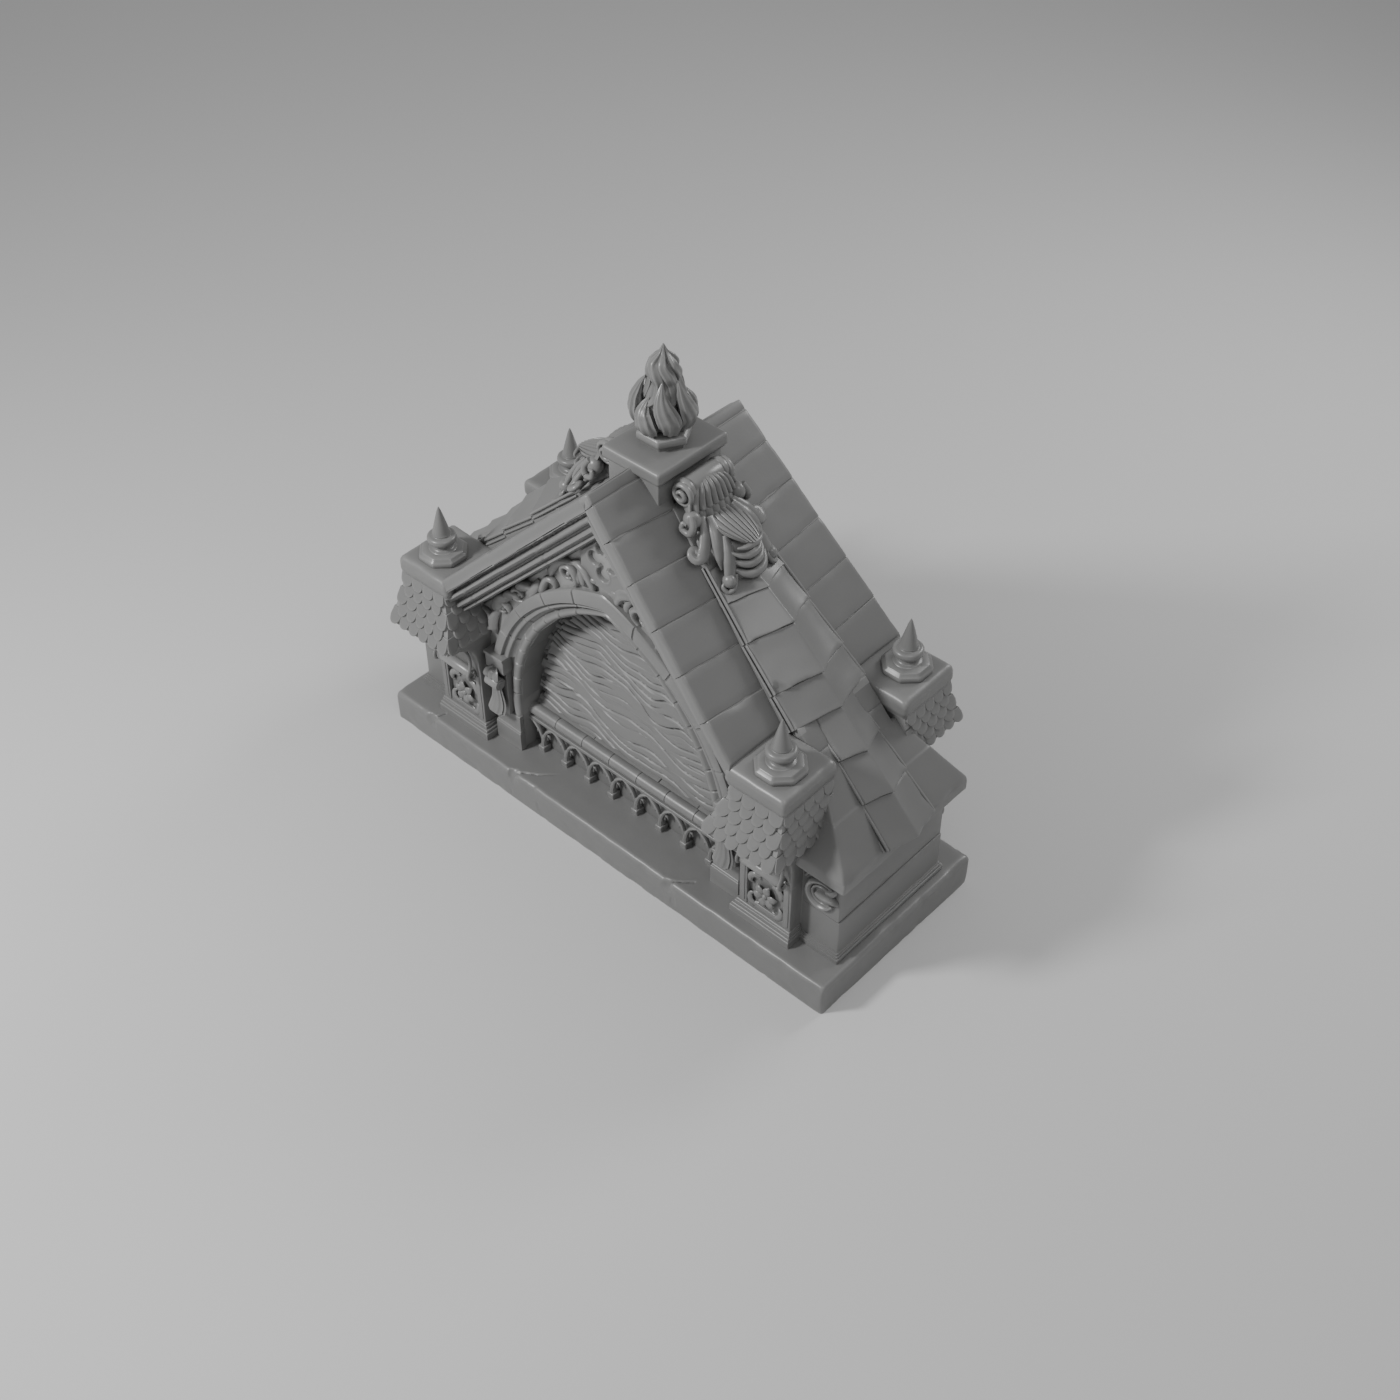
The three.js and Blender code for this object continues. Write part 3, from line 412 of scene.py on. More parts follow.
def makeStoneGrainGroup():
    # height of fine pitting and soft tool waves, for bump
    group, given, result = nodeGroup(
        "stoneGrain", {"Pit Size": 90.0, "Wave Size": 14.0, "Wave Share": 0.5}, {"Height": "NodeSocketFloat"})
    coords = addNode(group, "TexCoord").outputs["Object"]
    pits = addNode(group, "TexNoise", {"Detail": 4, "Vector": coords, "Scale": given["Pit Size"]})
    waves = addNode(group, "TexNoise", {"Detail": 1, "Vector": coords, "Scale": given["Wave Size"]})
    height = addNode(group, "Math", {0: waves.outputs["Fac"], 1: given["Wave Share"], 2: pits.outputs["Fac"]},
                     operation="MULTIPLY_ADD")
    group.links.new(height.outputs[0], result["Height"])
    return group


stoneToneAndPaintedLight = makeStoneToneGroup()
stoneGrain = makeStoneGrainGroup()


def stoneMaterial(name, look):
    material = bpy.data.materials.new(name)
    material.use_nodes = True
    tree = material.node_tree
    shader = tree.nodes["Principled BSDF"].inputs
    tone = addNode(tree, "Group", node_tree=stoneToneAndPaintedLight)
    tone.inputs["Base"].default_value = (*look["colour"], 1)
    # the edge amount lightens arrises as wear and painted highlight; the hollow amount is painted shade
    for label, key in [("Cloud Size", "cloudSize"), ("Cloud Amount", "cloud"), ("Speckle Amount", "speckle"),
                       ("Wear And Highlight Amount", "wear"), ("Painted Shade Amount", "paintedShade")]:
        tone.inputs[label].default_value = look[key]
    grain = addNode(tree, "Group", node_tree=stoneGrain)
    grain.inputs["Pit Size"].default_value = look["pitSize"]
    grain.inputs["Wave Share"].default_value = look["waveShare"]
    bump = addNode(tree, "Bump", {
        "Strength": look["bump"], "Distance": 0.002, "Height": grain.outputs["Height"]})
    gloss = addNode(tree, "MapRange", {
        "To Min": look["roughness"], "To Max": look["roughness"] - look["polish"],
        "Value": tone.outputs["Wear"]})
    uneven = addNode(tree, "Math", {0: tone.outputs["Cloud"], 1: 0.10, 2: gloss.outputs["Result"]},
                     operation="MULTIPLY_ADD")
    tree.links.new(tone.outputs["Color"], shader["Base Color"])
    tree.links.new(bump.outputs["Normal"], shader["Normal"])
    tree.links.new(uneven.outputs[0], shader["Roughness"])
    shader["Specular IOR Level"].default_value = look["specular"]
    return material


# wear sets the edge lightening, partly wear and partly painted highlight; the hollow amount sets the painted
# shade
stoneLook = {
    "colour": (0.185, 0.185, 0.183), "cloudSize": 2.6, "cloud": 0.12, "speckle": 0.06, "wear": 0.48,
    "paintedShade": 0.62, "pitSize": 110.0, "waveShare": 0.6, "bump": 0.14, "roughness": 0.33, "polish": 0.10,
    "specular": 0.55,
}
# carved stone and the boards take deeper painted shade in their hollows
carvedLook = {**stoneLook, "bump": 0.08, "roughness": 0.29, "paintedShade": 0.8}
boardLook = {**stoneLook, "paintedShade": 1.1, "bump": 0.12, "roughness": 0.38, "cloudSize": 5.0}
stone = stoneMaterial("dressedStone", stoneLook)
carvedStone = stoneMaterial("carvedStone", carvedLook)
boardWood = stoneMaterial("weatheredBoards", boardLook)
print("materials made")

# camera at the photograph's angle
cameraAt = {
    "azimuth": 42.54, "elevation": 43.22, "distance": 9.1105, "target": (0.2103, 0.0, 0.8081), "lens": 48.04,
}


def makeCamera(at):
    azimuth, elevation = math.radians(at["azimuth"]), math.radians(at["elevation"])
    away = Vector((math.sin(azimuth) * math.cos(elevation), -math.cos(azimuth) * math.cos(elevation),
                   math.sin(elevation)))
    data = bpy.data.cameras.new("camera")
    data.lens = at["lens"]
    data.sensor_width = 36
    data.clip_end = 200
    camera = bpy.data.objects.new("camera", data)
    camera.location = Vector(at["target"]) + away * at["distance"]
    camera.rotation_euler = (-away).to_track_quat("-Z", "Y").to_euler()
    bpy.context.scene.collection.objects.link(camera)
    bpy.context.scene.camera = camera


makeCamera(cameraAt)

# each lamp: name, place, size and power
studio = {
    "floor": 30.0, "floorTone": 0.62, "floorRoughness": 0.9, "sky": 0.34, "aim": (0, 0, 1.0),
    "lamps": [
        ("key", (-3.2, -6.4, 6.6), 1.6, 660), ("fill", (4.6, -1.8, 8.4), 4.0, 110),
        ("rim", (2.0, 7.0, 6.0), 3.0, 260),
    ],
}


def makeStudio(look):
    half = look["floor"]
    mesh = bpy.data.meshes.new("floor")
    square = [(-half, -half, 0), (half, -half, 0), (half, half, 0), (-half, half, 0)]
    mesh.from_pydata(square, [], [(0, 1, 2, 3)])
    floor = bpy.data.objects.new("floor", mesh)
    bpy.context.scene.collection.objects.link(floor)
    paper = bpy.data.materials.new("floorPaper")
    paper.use_nodes = True
    shader = paper.node_tree.nodes["Principled BSDF"]
    shader.inputs["Base Color"].default_value = (look["floorTone"],) * 3 + (1,)
    shader.inputs["Roughness"].default_value = look["floorRoughness"]
    mesh.materials.append(paper)
    world = bpy.data.worlds.new("studio")
    world.use_nodes = True
    world.node_tree.nodes["Background"].inputs["Color"].default_value = (look["sky"],) * 3 + (1,)
    bpy.context.scene.world = world
    for name, at, size, power in look["lamps"]:
        data = bpy.data.lights.new(name, "AREA")
        data.shape = "DISK"
        data.size = size
        data.energy = power
        lamp = bpy.data.objects.new(name, data)
        lamp.location = at
        lamp.rotation_euler = (Vector(look["aim"]) - Vector(at)).to_track_quat("-Z", "Y").to_euler()
        bpy.context.scene.collection.objects.link(lamp)


makeStudio(studio)
print("camera, floor and lights set")

# base slab: chipped foot, cracks that start at the front arris
slab = {
    "length": 3.0, "depth": 1.137, "height": 0.182, "edge": 0.024, "chip": 0.004, "corner": 0.02,
    "cracks": [
        [(-0.585, -0.575), (-0.545, -0.530), (-0.470, -0.485), (-0.395, -0.408)],
        [(0.515, -0.575), (0.535, -0.545), (0.575, -0.515), (0.615, -0.478)],
        [(-1.205, -0.575), (-1.178, -0.535), (-1.168, -0.500)],
    ],
    "crackWidth": 0.007, "crackDepth": 0.011, "crackFade": (0.12, 0.27), "notch": 0.042, "notchDepth": 0.014,
    "ragged": 0.004, "dent": 0.003,
}


def makeSlab():
    half = np.array([slab["length"], slab["depth"]]) / 2
    cracks = [[(x + half[0], y + half[1]) for x, y in path] for path in slab["cracks"]]
    extraU = [x for path in cracks for x in np.arange(path[0][0] - 0.05, path[-1][0] + 0.02, 0.005)]
    extraV = np.arange(0.03, 0.19, 0.006)

    def shape(p):
        top = smooth(p[:, 2], -0.05, -0.02)
        for path in cracks:
            away = lineDistance(p[:, :2], path)
            far = np.linalg.norm(p[:, :2] - np.array(path[0]), axis=1)
            fade = 1 - smooth(far, *slab["crackFade"])
            p[:, 2] -= slab["crackDepth"] * np.maximum(0, 1 - away / slab["crackWidth"]) * fade * top
            reach = slab["notch"] * (1 + 0.4 * rough(p, 0.03, 5))
            bite = smooth(1 - far / reach, 0, 1) * slab["notchDepth"] * smooth(p[:, 2], -0.085, -0.03)
            p[:, 2] -= bite
            p[:, 1] += bite * 0.8 * (p[:, 1] < 0.05)
        lowEdge = smooth(-p[:, 2], 0.10, 0.165)
        ragged = smooth(rough(p * np.array([1, 1, 0.4]), 0.10, 61, 3), 0.0, 0.9) * lowEdge * slab["ragged"]
        middle = np.clip((p[:, :2] - half) / half, -1, 1)
        p[:, :2] -= ragged[:, None] * np.sign(middle) * (np.abs(middle) > 0.985)
        p[:, 1] += smooth(rough(p, 0.05, 77, 2), 0.60, 0.9) * slab["dent"] * (p[:, 1] < 0.002)
        return p

    def place(p):
        return np.stack([p[:, 0] - half[0], p[:, 1] - half[1], p[:, 2] + slab["height"]], -1)
    part = block(place, half * 2, slab["height"], slab["edge"], cell=0.022, corner=slab["corner"],
                 extra=(extraU, extraV), wallRows=12, wear=0.0012, chip=slab["chip"], seed=3, shape=shape)
    addPiece("baseSlab", [part], "base_slab", stone)


makeSlab()
print("base slab made")

# coping: one run of worn slabs on each slope and side; skew is for the front and the back
coping = {
    "joints": [0.0, 0.060, 0.232, 0.440, 0.662, 0.886, 1.112, 1.322], "gap": 0.002, "edge": 0.005,
    "ridgeEdge": 0.012, "jog": 0.006, "lift": 0.0015, "arris": 0.019, "skew": (0.034, 0.025), "bed": 0.005,
    "ridgeHalf": 0.12, "underRib": 0.02, "worn": 0.004, "chip": 0.006,
    "arrisLines": (0.0075, 0.0105, 0.014, 0.018, 0.022, 0.026),
}


def ribHalf(s):
    return 0.205 + 0.09 * (s - 0.928)


def copingOuter(s):
    return gable["copingFront"] + gable["copingFlare"] * s


def copingInner(s, start):
    # below the cap stone the coping runs under the rib
    return coping["ridgeHalf"] if start < 0.2 else ribHalf(s) - coping["underRib"]


def copingSlab(s0, s1, index, slant, seed):
    a, b = s0 + coping["gap"] / 2, s1 - coping["gap"] / 2
    inner = copingInner((s0 + s1) / 2, s0)
    size = (b - a, copingOuter((s0 + s1) / 2) - inner)
    lift = coping["lift"] * math.sin(index * 2.3 + seed)
    jog = coping["jog"] * (0.4 + 0.6 * math.sin(index * 1.7 + seed) ** 2)

    def place(p):
        s = a + p[:, 0]
        outer = copingOuter(s) + jog * (p[:, 0] / (b - a) - 0.6)
        share = p[:, 1] / size[1]
        n = p[:, 2] + lift
        low = smooth(s, coping["joints"][-2], gable["copingEnd"])
        mitre = np.maximum(0, -n - s)
        skew = slant * smooth(s, 0, 0.2) * (1 - low)
        return onSlope(s + mitre - n * low + skew * (share - 0.25), -(outer + (inner - outer) * share), n)

    def shape(p):
        worn = smooth(rough(p + index * 5.0, 0.11, seed + index, 2), 0.15, 0.9)
        edge = np.exp(-np.minimum(p[:, 1], 0.3) / 0.012)
        p[:, 2] -= worn * edge * coping["worn"] * (p[:, 2] > -0.03)
        turn = np.clip(1 - p[:, 1] / coping["arris"], 0, 1)
        p[:, 2] -= coping["arris"] * (1 - np.sqrt(1 - turn ** 2)) * 0.75 * smooth(p[:, 2], -0.05, -0.01)
        return p
    return block(place, size, gable["copingThick"] - 0.001, coping["edge"] if s0 > 0 else coping["ridgeEdge"],
                 cell=0.035, extra=((), coping["arrisLines"]), wallRows=2, wear=0.0009, chip=coping["chip"],
                 seed=seed * 7 + index, shape=shape, foot=1)


def makeCoping(corner, mirror, seed):
    slant = coping["skew"][mirror[1] < 0]
    joints = zip(coping["joints"][:-1], coping["joints"][1:])
    parts = [copingSlab(s0, s1, index, slant, seed) for index, (s0, s1) in enumerate(joints)]
    top, low = -coping["bed"], 0.004 - gable["copingThick"]
    bed = []
    for s in np.linspace(0.02, gable["copingEnd"] - 0.006, 24):
        outer = copingOuter(s) - coping["bed"] - 0.006
        inner = copingInner(s, s)
        section = [(outer, top), (inner, top), (inner, low), (outer, low)]
        bed.append([onSlope(s + max(0.0, -n - s), -y, n) for y, n in section])
    parts.append(loftRings(bed))
    addPiece(f"coping_{corner}_slabs", parts, f"coping_{corner}", stone, mirror)


# raking cornice: hollow, two rolls and fillets with tooled nicks; section is y and depth below the coping
cornice = {
    "step": 0.011, "end": 0.935, "nick": 0.0022, "jointDepth": 0.004, "origin": 0.300, "flare": 0.375,
    "nicked": [(3, 1.0), (4, 1.0), (11, 0.8), (17, 0.6)],
    "section": [
        (0.385, 0.0), (0.494, 0.0), (0.494, 0.006), (0.470, 0.010), (0.466, 0.020), (0.474, 0.024),
        (0.482, 0.032), (0.483, 0.042), (0.477, 0.052), (0.462, 0.058), (0.450, 0.062), (0.449, 0.070),
        (0.456, 0.075), (0.459, 0.084), (0.458, 0.094), (0.450, 0.101), (0.440, 0.103), (0.436, 0.110),
        (0.440, 0.114), (0.441, 0.124), (0.430, 0.130), (0.418, 0.134), (0.385, 0.134),
    ],
}


def makeCornice(corner, mirror, seed):
    section = np.array(cornice["section"])
    along = np.arange(0.0003, cornice["end"], cornice["step"])
    joints = [len(along) // 3, int(len(along) * 0.86)]
    n = -gable["copingThick"] - 0.0005 - section[:, 1]
    rings = []
    for i, plumb in enumerate(along):
        s = plumb * root2 - n
        y = section[:, 0] + (section[:, 0] - cornice["origin"]) * cornice["flare"] * s
        nick = cornice["nick"] * ((i * 7 + seed) % 3 - 1)
        for point, share in cornice["nicked"]:
            y[point] += nick * share
        if i in joints:
            y[1:-1] -= cornice["jointDepth"]
        rings.append(onSlope(s, -y, n))
    rings = np.array(rings)
    worn = wornRings(rings, 0.12, 0.0012, seed)
    worn[:, 0] = rings[:, 0]
    worn[:, -1] = rings[:, -1]
    addPiece(f"cornice_{corner}_moulding", [loftRings(worn)], f"cornice_{corner}", stone, mirror)


for corner, mirror in corners:
    seed = 18 + 5 * mirror[0] + 2 * mirror[1]
    makeCoping(corner, mirror, seed)
    makeCornice(corner, mirror, seed)
print("coping and cornices made")

# rib tiles: gabled slabs with beaked lower edges, rolled side bands and worn crests
rib = {
    "top": 0.240, "seams": [0.735, 0.928, 1.186, 1.365, 1.598, 1.821, 2.062],
    "side": [0.058, 0.058, 0.066, 0.066, 0.092, 0.092, 0.090],
    "crest": [0.128, 0.145, 0.138, 0.122, 0.122, 0.122, 0.108],
    "beak": 0.034, "lap": 0.014, "narrowFrom": 3, "narrowHalf": 0.122, "narrowFlare": 0.058, "flare": 0.012,
    "depth": (0.10, 0.055), "hollow": (1.10, 1.90), "scratched": (1, 2, 5),
    "brokenTile": 1, "brokenCorner": 0.050, "brokenDepth": 0.016,
    "rolls": [(0.004, -0.012, 0.015), (0.010, -0.034, 0.013)], "rollProfile": [0.8, 1, 0.9, 1, 0.95, 1, 0.8],
    "crestLines": (-0.03, -0.016, -0.008, -0.003, 0, 0.003, 0.008, 0.016, 0.03, 0.05, 0.075),
    "edgeLines": (0.012, 0.020, 0.032),
    # two hidden runs above the first tile: slope, side heights, crest heights, beak share and depth
    "upper": [((0.240, 0.57), (0.002, 0.020), (0.008, 0.030), 0, 0.05, 7),
              ((0.50, 0.735), (0.006, 0.050), (0.010, 0.118), 1, 0.06, 8)],
}


def narrowHalf(s):
    return rib["narrowHalf"] + (s - rib["seams"][rib["narrowFrom"]]) * rib["narrowFlare"]


def ribSlab(span, side, crest, beak, deep, index, seed):
    # one tile: a worn crest, hollow slopes on both sides and walls that lean outward
    s0, s1 = span
    length = s1 - s0
    halfAt = narrowHalf if index >= rib["narrowFrom"] else ribHalf
    width = 2 * halfAt((s0 + s1) / 2)

    def place(p):
        t = np.clip(p[:, 0] / length, 0, 1)
        across = 2 * p[:, 1] / width - 1
        point = beak[0] + (beak[1] - beak[0]) * t
        s = s0 + p[:, 0] + point * (1 - np.abs(across) ** 0.8)
        high = crest[0] + (crest[1] - crest[0]) * t
        low = side[0] + (side[1] - side[0]) * t
        away = np.sqrt(across ** 2 + 0.0005) - 0.022
        bow = np.where(across < 0, *rib["hollow"])
        n = low + (high - low) * (1 - np.minimum(away, 1)) ** bow
        n = n - 0.006 * np.sin(np.pi * t) ** 0.8 * (0.4 + 0.6 * np.abs(across))
        drop = np.clip(-p[:, 2] / 0.055, 0, 1)
        lean = rib["flare"] * drop + 0.0025 * np.sin(drop * 3 * np.pi) * (np.abs(across) > 0.97)
        return onSlope(s, across * halfAt(s0 + p[:, 0]) + np.sign(across) * lean, n + p[:, 2])

    def shape(p):
        bite = smooth(rough(p + index * 4.0, 0.05, 90 + index, 2), 0.35, 0.95)
        p[:, 2] -= bite * smooth(p[:, 0] / length, 0.93, 1.0) * 0.007
        scratch = lineDistance(p[:, :2], [(length * 0.45, width * 0.60), (length * 0.80, width * 0.64)])
        p[:, 2] -= 0.003 * np.maximum(0, 1 - scratch / 0.007) * (index in rib["scratched"])
        if index == rib["brokenTile"]:
            far = np.hypot(p[:, 0] - length, p[:, 1] - 0.012) * (1 + 0.35 * rough(p, 0.02, 7))
            p[:, 2] -= rib["brokenDepth"] * smooth(1 - far / rib["brokenCorner"], 0, 0.5)
        return p
    extraV = [width / 2 + d for d in rib["crestLines"]] + list(rib["edgeLines"])
    extraU = (length - 0.012, length - 0.024)
    return block(place, (length, width), deep, 0.005, cell=0.020, extra=(extraU, extraV), wallRows=7,
                 wear=0.0012, chip=0.005, seed=seed, shape=shape, foot=1)


def makeRibTile(index, endName, signX):
    seams, side, crest, lap, beak = [rib[key] for key in ("seams", "side", "crest", "lap", "beak")]
    seed = 50 + index + 20 * (signX > 0)
    narrow = index >= rib["narrowFrom"]
    halfAt = narrowHalf if narrow else ribHalf
    deep = rib["depth"][narrow]
    parts = []
    if index == 0:
        for span, low, high, pointed, depth, more in rib["upper"]:
            parts.append(ribSlab(span, low, high, (0, beak * pointed), depth, index, seed + more))
        low, high = (0.040, side[1]), (0.108, crest[1])
        start = rib["top"] + 0.30
    else:
        upper = side[index + 1] if index == rib["narrowFrom"] else side[index]
        low, high = (upper - lap, side[index + 1]), (crest[index] - lap, crest[index + 1])
        start = seams[index]
    end = seams[index + 1]
    parts.append(ribSlab((seams[index], end), low, high, (beak, beak), deep, index, seed))
    s = np.linspace(start + 0.004, end - 0.003, 8)
    level = np.interp(s, [start, end], [max(side[index] - lap, 0.03), side[index + 1]])
    for sy in (-1, 1):
        for out, down, thick in rib["rolls"]:
            line = onSlope(s, sy * (halfAt(s) + out + rib["flare"] * 0.3), np.maximum(level + down, 0.006))
            parts.append(strand(line, thick, thick, (0, sy, 0), 24, 8, profile=rib["rollProfile"]))
    addPiece(f"ribTile_{endName}_{index + 1}", parts, f"rib_tile_{endName}_{index + 1}", stone, (signX, 1))


for endName, signX in ends:
    for index in range(6):
        makeRibTile(index, endName, signX)
print("rib tiles made")

# square caps on the piers and their turned finials; tiers and stem are radius and height
cap = {
    "x": (0.902, 1.255), "y": (0.238, 0.606), "z": (1.168, 1.275),
    "edge": 0.034, "corner": 0.024, "tuck": 0.045,
}
finial = {
    "x": 1.094, "y": 0.4435,
    "tiers": [
        (0.112, -0.003), (0.122, 0.0), (0.126, 0.004), (0.126, 0.024), (0.123, 0.029), (0.112, 0.034),
        (0.109, 0.042), (0.104, 0.045), (0.06, 0.046),
    ],
    "stem": [
        (0.074, 0.040), (0.068, 0.048), (0.056, 0.054), (0.050, 0.062), (0.048, 0.070), (0.051, 0.078),
        (0.062, 0.083), (0.070, 0.090), (0.0735, 0.100), (0.0735, 0.108), (0.070, 0.118), (0.061, 0.124),
        (0.049, 0.126), (0.046, 0.130), (0.047, 0.134), (0.044, 0.139), (0.035, 0.176), (0.0235, 0.220),
        (0.012, 0.262), (0.0025, 0.288),
    ],
}


def makeCap(corner, mirror, seed):
    (x0, x1), (y0, y1), (z0, z1) = cap["x"], cap["y"], cap["z"]
    middle = np.array([(x0 + x1) / 2, (y0 + y1) / 2])

    def place(p):
        tuck = 1 - cap["tuck"] * smooth(-p[:, 2], 0.072, 0.105)
        q = middle + (p[:, :2] + (x0, y0) - middle) * tuck[:, None]
        return np.stack([q[:, 0], -q[:, 1], z1 + p[:, 2]], -1)
    part = block(place, (x1 - x0, y1 - y0), z1 - z0, cap["edge"], cell=0.02, corner=cap["corner"], wallRows=8,
                 wear=0.0016, chip=0.004, seed=seed, foot=1)
    addPiece(f"cap_{corner}_slab", [part], f"cap_{corner}", stone, mirror)


def makeFinial(corner, mirror, seed):
    foot = cap["z"][1]
    centre = (finial["x"], -finial["y"], foot)
    rings = [octagon(radius, foot + z, 8, centre) for radius, z in finial["tiers"]]
    stem = turned(curveThrough(finial["stem"], 60), centre, 36)
    addPiece(f"finial_{corner}_turned", [loftRings(wornRings(rings, 0.06, 0.0007, seed)), stem],
             f"finial_{corner}", carvedStone, mirror, sharp=50)


# skirts: rows of fish scales round three sides of a core; each row: height, inner x, outer x, front y
skirt = {
    "rows": [
        (0.905, 0.844, 1.273, 0.692), (0.962, 0.862, 1.266, 0.664), (1.021, 0.886, 1.258, 0.636),
        (1.080, 0.912, 1.250, 0.612), (1.143, 0.940, 1.243, 0.594), (1.168, 0.945, 1.241, 0.592),
    ],
    "low": 0.905, "high": 1.165, "core": (0.900, 1.168), "back": 0.262, "courses": 5, "pitch": 0.0530,
    "scale": 0.074, "scaleWidth": 0.955, "thick": 0.015, "headLap": 0.022, "footLap": 0.004,
    "tongue": [(-0.5, 0), (-0.5, 0.55), (-0.46, 0.72), (-0.36, 0.87), (-0.2, 0.97), (0, 1.0)],
    "tongueRings": [(-0.6, 1.0), (0.80, 1.0), (0.96, 0.985), (1.0, 0.955), (1.0, 0.5)],
}


def skirtPlan(at, z, inset=0.0):
    # inner front, outer front, outer back and inner back corner
    rows = np.array(skirt["rows"])
    inner, outer, front = [np.interp(at, rows[:, 0], rows[:, k]) for k in (1, 2, 3)]
    inner, outer, front, back = inner + inset, outer - inset, inset - front, -skirt["back"]
    return np.array([(inner, front, z), (outer, front, z), (outer, back, z), (inner, back, z)])


def fishScale(top, down, across, out, width, length, thick):
    # tongue-shaped tile: top is the middle of its upper edge
    half = skirt["tongue"]
    outline = np.array(half + [(-x, y) for x, y in half[-2::-1]])
    middle = np.array([0, 0.5])
    rings = []
    for lift, grow in skirt["tongueRings"]:
        q = middle + (outline - middle) * np.array([grow, 1 - (1 - grow) * 0.8])
        tilt = 0.12 + 0.88 * q[:, 1]
        rings.append(top + np.outer(q[:, 0] * width, across) + np.outer(q[:, 1] * length, down)
                     + np.outer(thick * lift * tilt, out))
    return loftRings(rings)


def makeSkirt(corner, mirror, seed):
    random = np.random.default_rng(seed)
    parts = [loftRings([skirtPlan(z, z, 0.004) for z in np.linspace(*skirt["core"], 9)])]
    for row in range(skirt["courses"]):
        zTop = skirt["low"] + skirt["pitch"] * (row + 1) + skirt["headLap"]
        zLow = skirt["low"] + skirt["pitch"] * row - skirt["footLap"]
        shift = 0.5 * (row % 2)
        high = skirtPlan(min(zTop, skirt["high"]), zTop)
        low = skirtPlan(max(zLow, skirt["low"]), zLow)
        for i, j, facing in ((0, 1, (0, -1, 0)), (1, 2, (1, 0, 0)), (3, 0, (-1, 0, 0))):
            wide = np.linalg.norm(low[j] - low[i])
            number = int(round(wide / skirt["scale"]))
            for k in range(-1 if shift else 0, number):
                t = (k + 0.5 + shift) / number
                if t < 0.02 or t > 0.98:
                    continue
                upper = high[i] + (high[j] - high[i]) * (t + random.uniform(-0.005, 0.005))
                down = low[i] + (low[j] - low[i]) * t - upper
                length = np.linalg.norm(down) * random.uniform(0.99, 1.01)
                down = unit(down)
                across = unit(low[j] - low[i])
                out = unit(np.cross(across, down))
                if out @ np.array(facing) < 0:
                    out = -out
                parts.append(fishScale(upper, down, across, out, wide / number * skirt["scaleWidth"], length,
                                       skirt["thick"] * random.uniform(0.92, 1.08)))
    addPiece(f"skirt_{corner}_scales", parts, f"skirt_{corner}", stone, mirror, sharp=55)


for corner, mirror in corners:
    seed = 28 + 5 * mirror[0] + 2 * mirror[1]
    makeCap(corner, mirror, seed)
    makeFinial(corner, mirror, seed)
    makeSkirt(corner, mirror, seed)
print("caps, finials and skirts made")

# lower roof at each end: flared hips, thick eave and the slabs beside the rib; profile is height, x and y
eave = {
    "start": 1.2104, "sum": 2.322, "shoulder": 1.105, "upperTop": 1.3654, "upperHalf": 0.238, "groove": 0.003,
    "grooveAt": 0.992, "bend": 0.012, "lip": 0.806, "ragged": (0.008, 0.006), "depth": 0.125,
    "profile": [
        (0.728, 1.471, 0.432), (0.746, 1.493, 0.458), (0.800, 1.493, 0.458), (0.812, 1.488, 0.455),
        (0.900, 1.412, 0.402), (0.992, 1.334, 0.349), (0.995, 1.325, 0.344), (1.105, 1.217, 0.281),
        (1.132, 1.190, 0.265),
    ],
    "extraHeights": [0.731, 0.746, 0.806, 0.812, 0.989, 0.992, 0.996, 1.132],
    "riser": [(1.3225, -0.05), (1.3225, -0.006), (1.326, 0.001), (1.362, 0.066), (1.372, 0.0695),
              (1.40, 0.0695), (1.40, -0.05)],
}


def hipRings():
    profile = np.array(eave["profile"])
    r = eave["bend"]
    rings = []
    for z in np.unique(np.concatenate([np.arange(0.728, 1.132, 0.016), eave["extraHeights"]])):
        cut = eave["groove"] if abs(z - eave["grooveAt"]) < 0.002 else 0.0
        x, y = [np.interp(z, profile[:, 0], profile[:, k]) - cut for k in (1, 2)]
        side = [(a, -y) for a in np.linspace(min(eave["start"], x - 0.02), x - r, 8)]
        bend = [(x - r + r * math.sin(t), -y + r - r * math.cos(t)) for t in (0.5, 1.05)]
        front = [(x, b) for b in np.linspace(-y + r, y - r, 30)]
        outline = side + bend + front + [(a, -b) for a, b in bend[::-1] + side[::-1]]
        rings.append([(a, b, z) for a, b in outline])
    return np.array(rings)


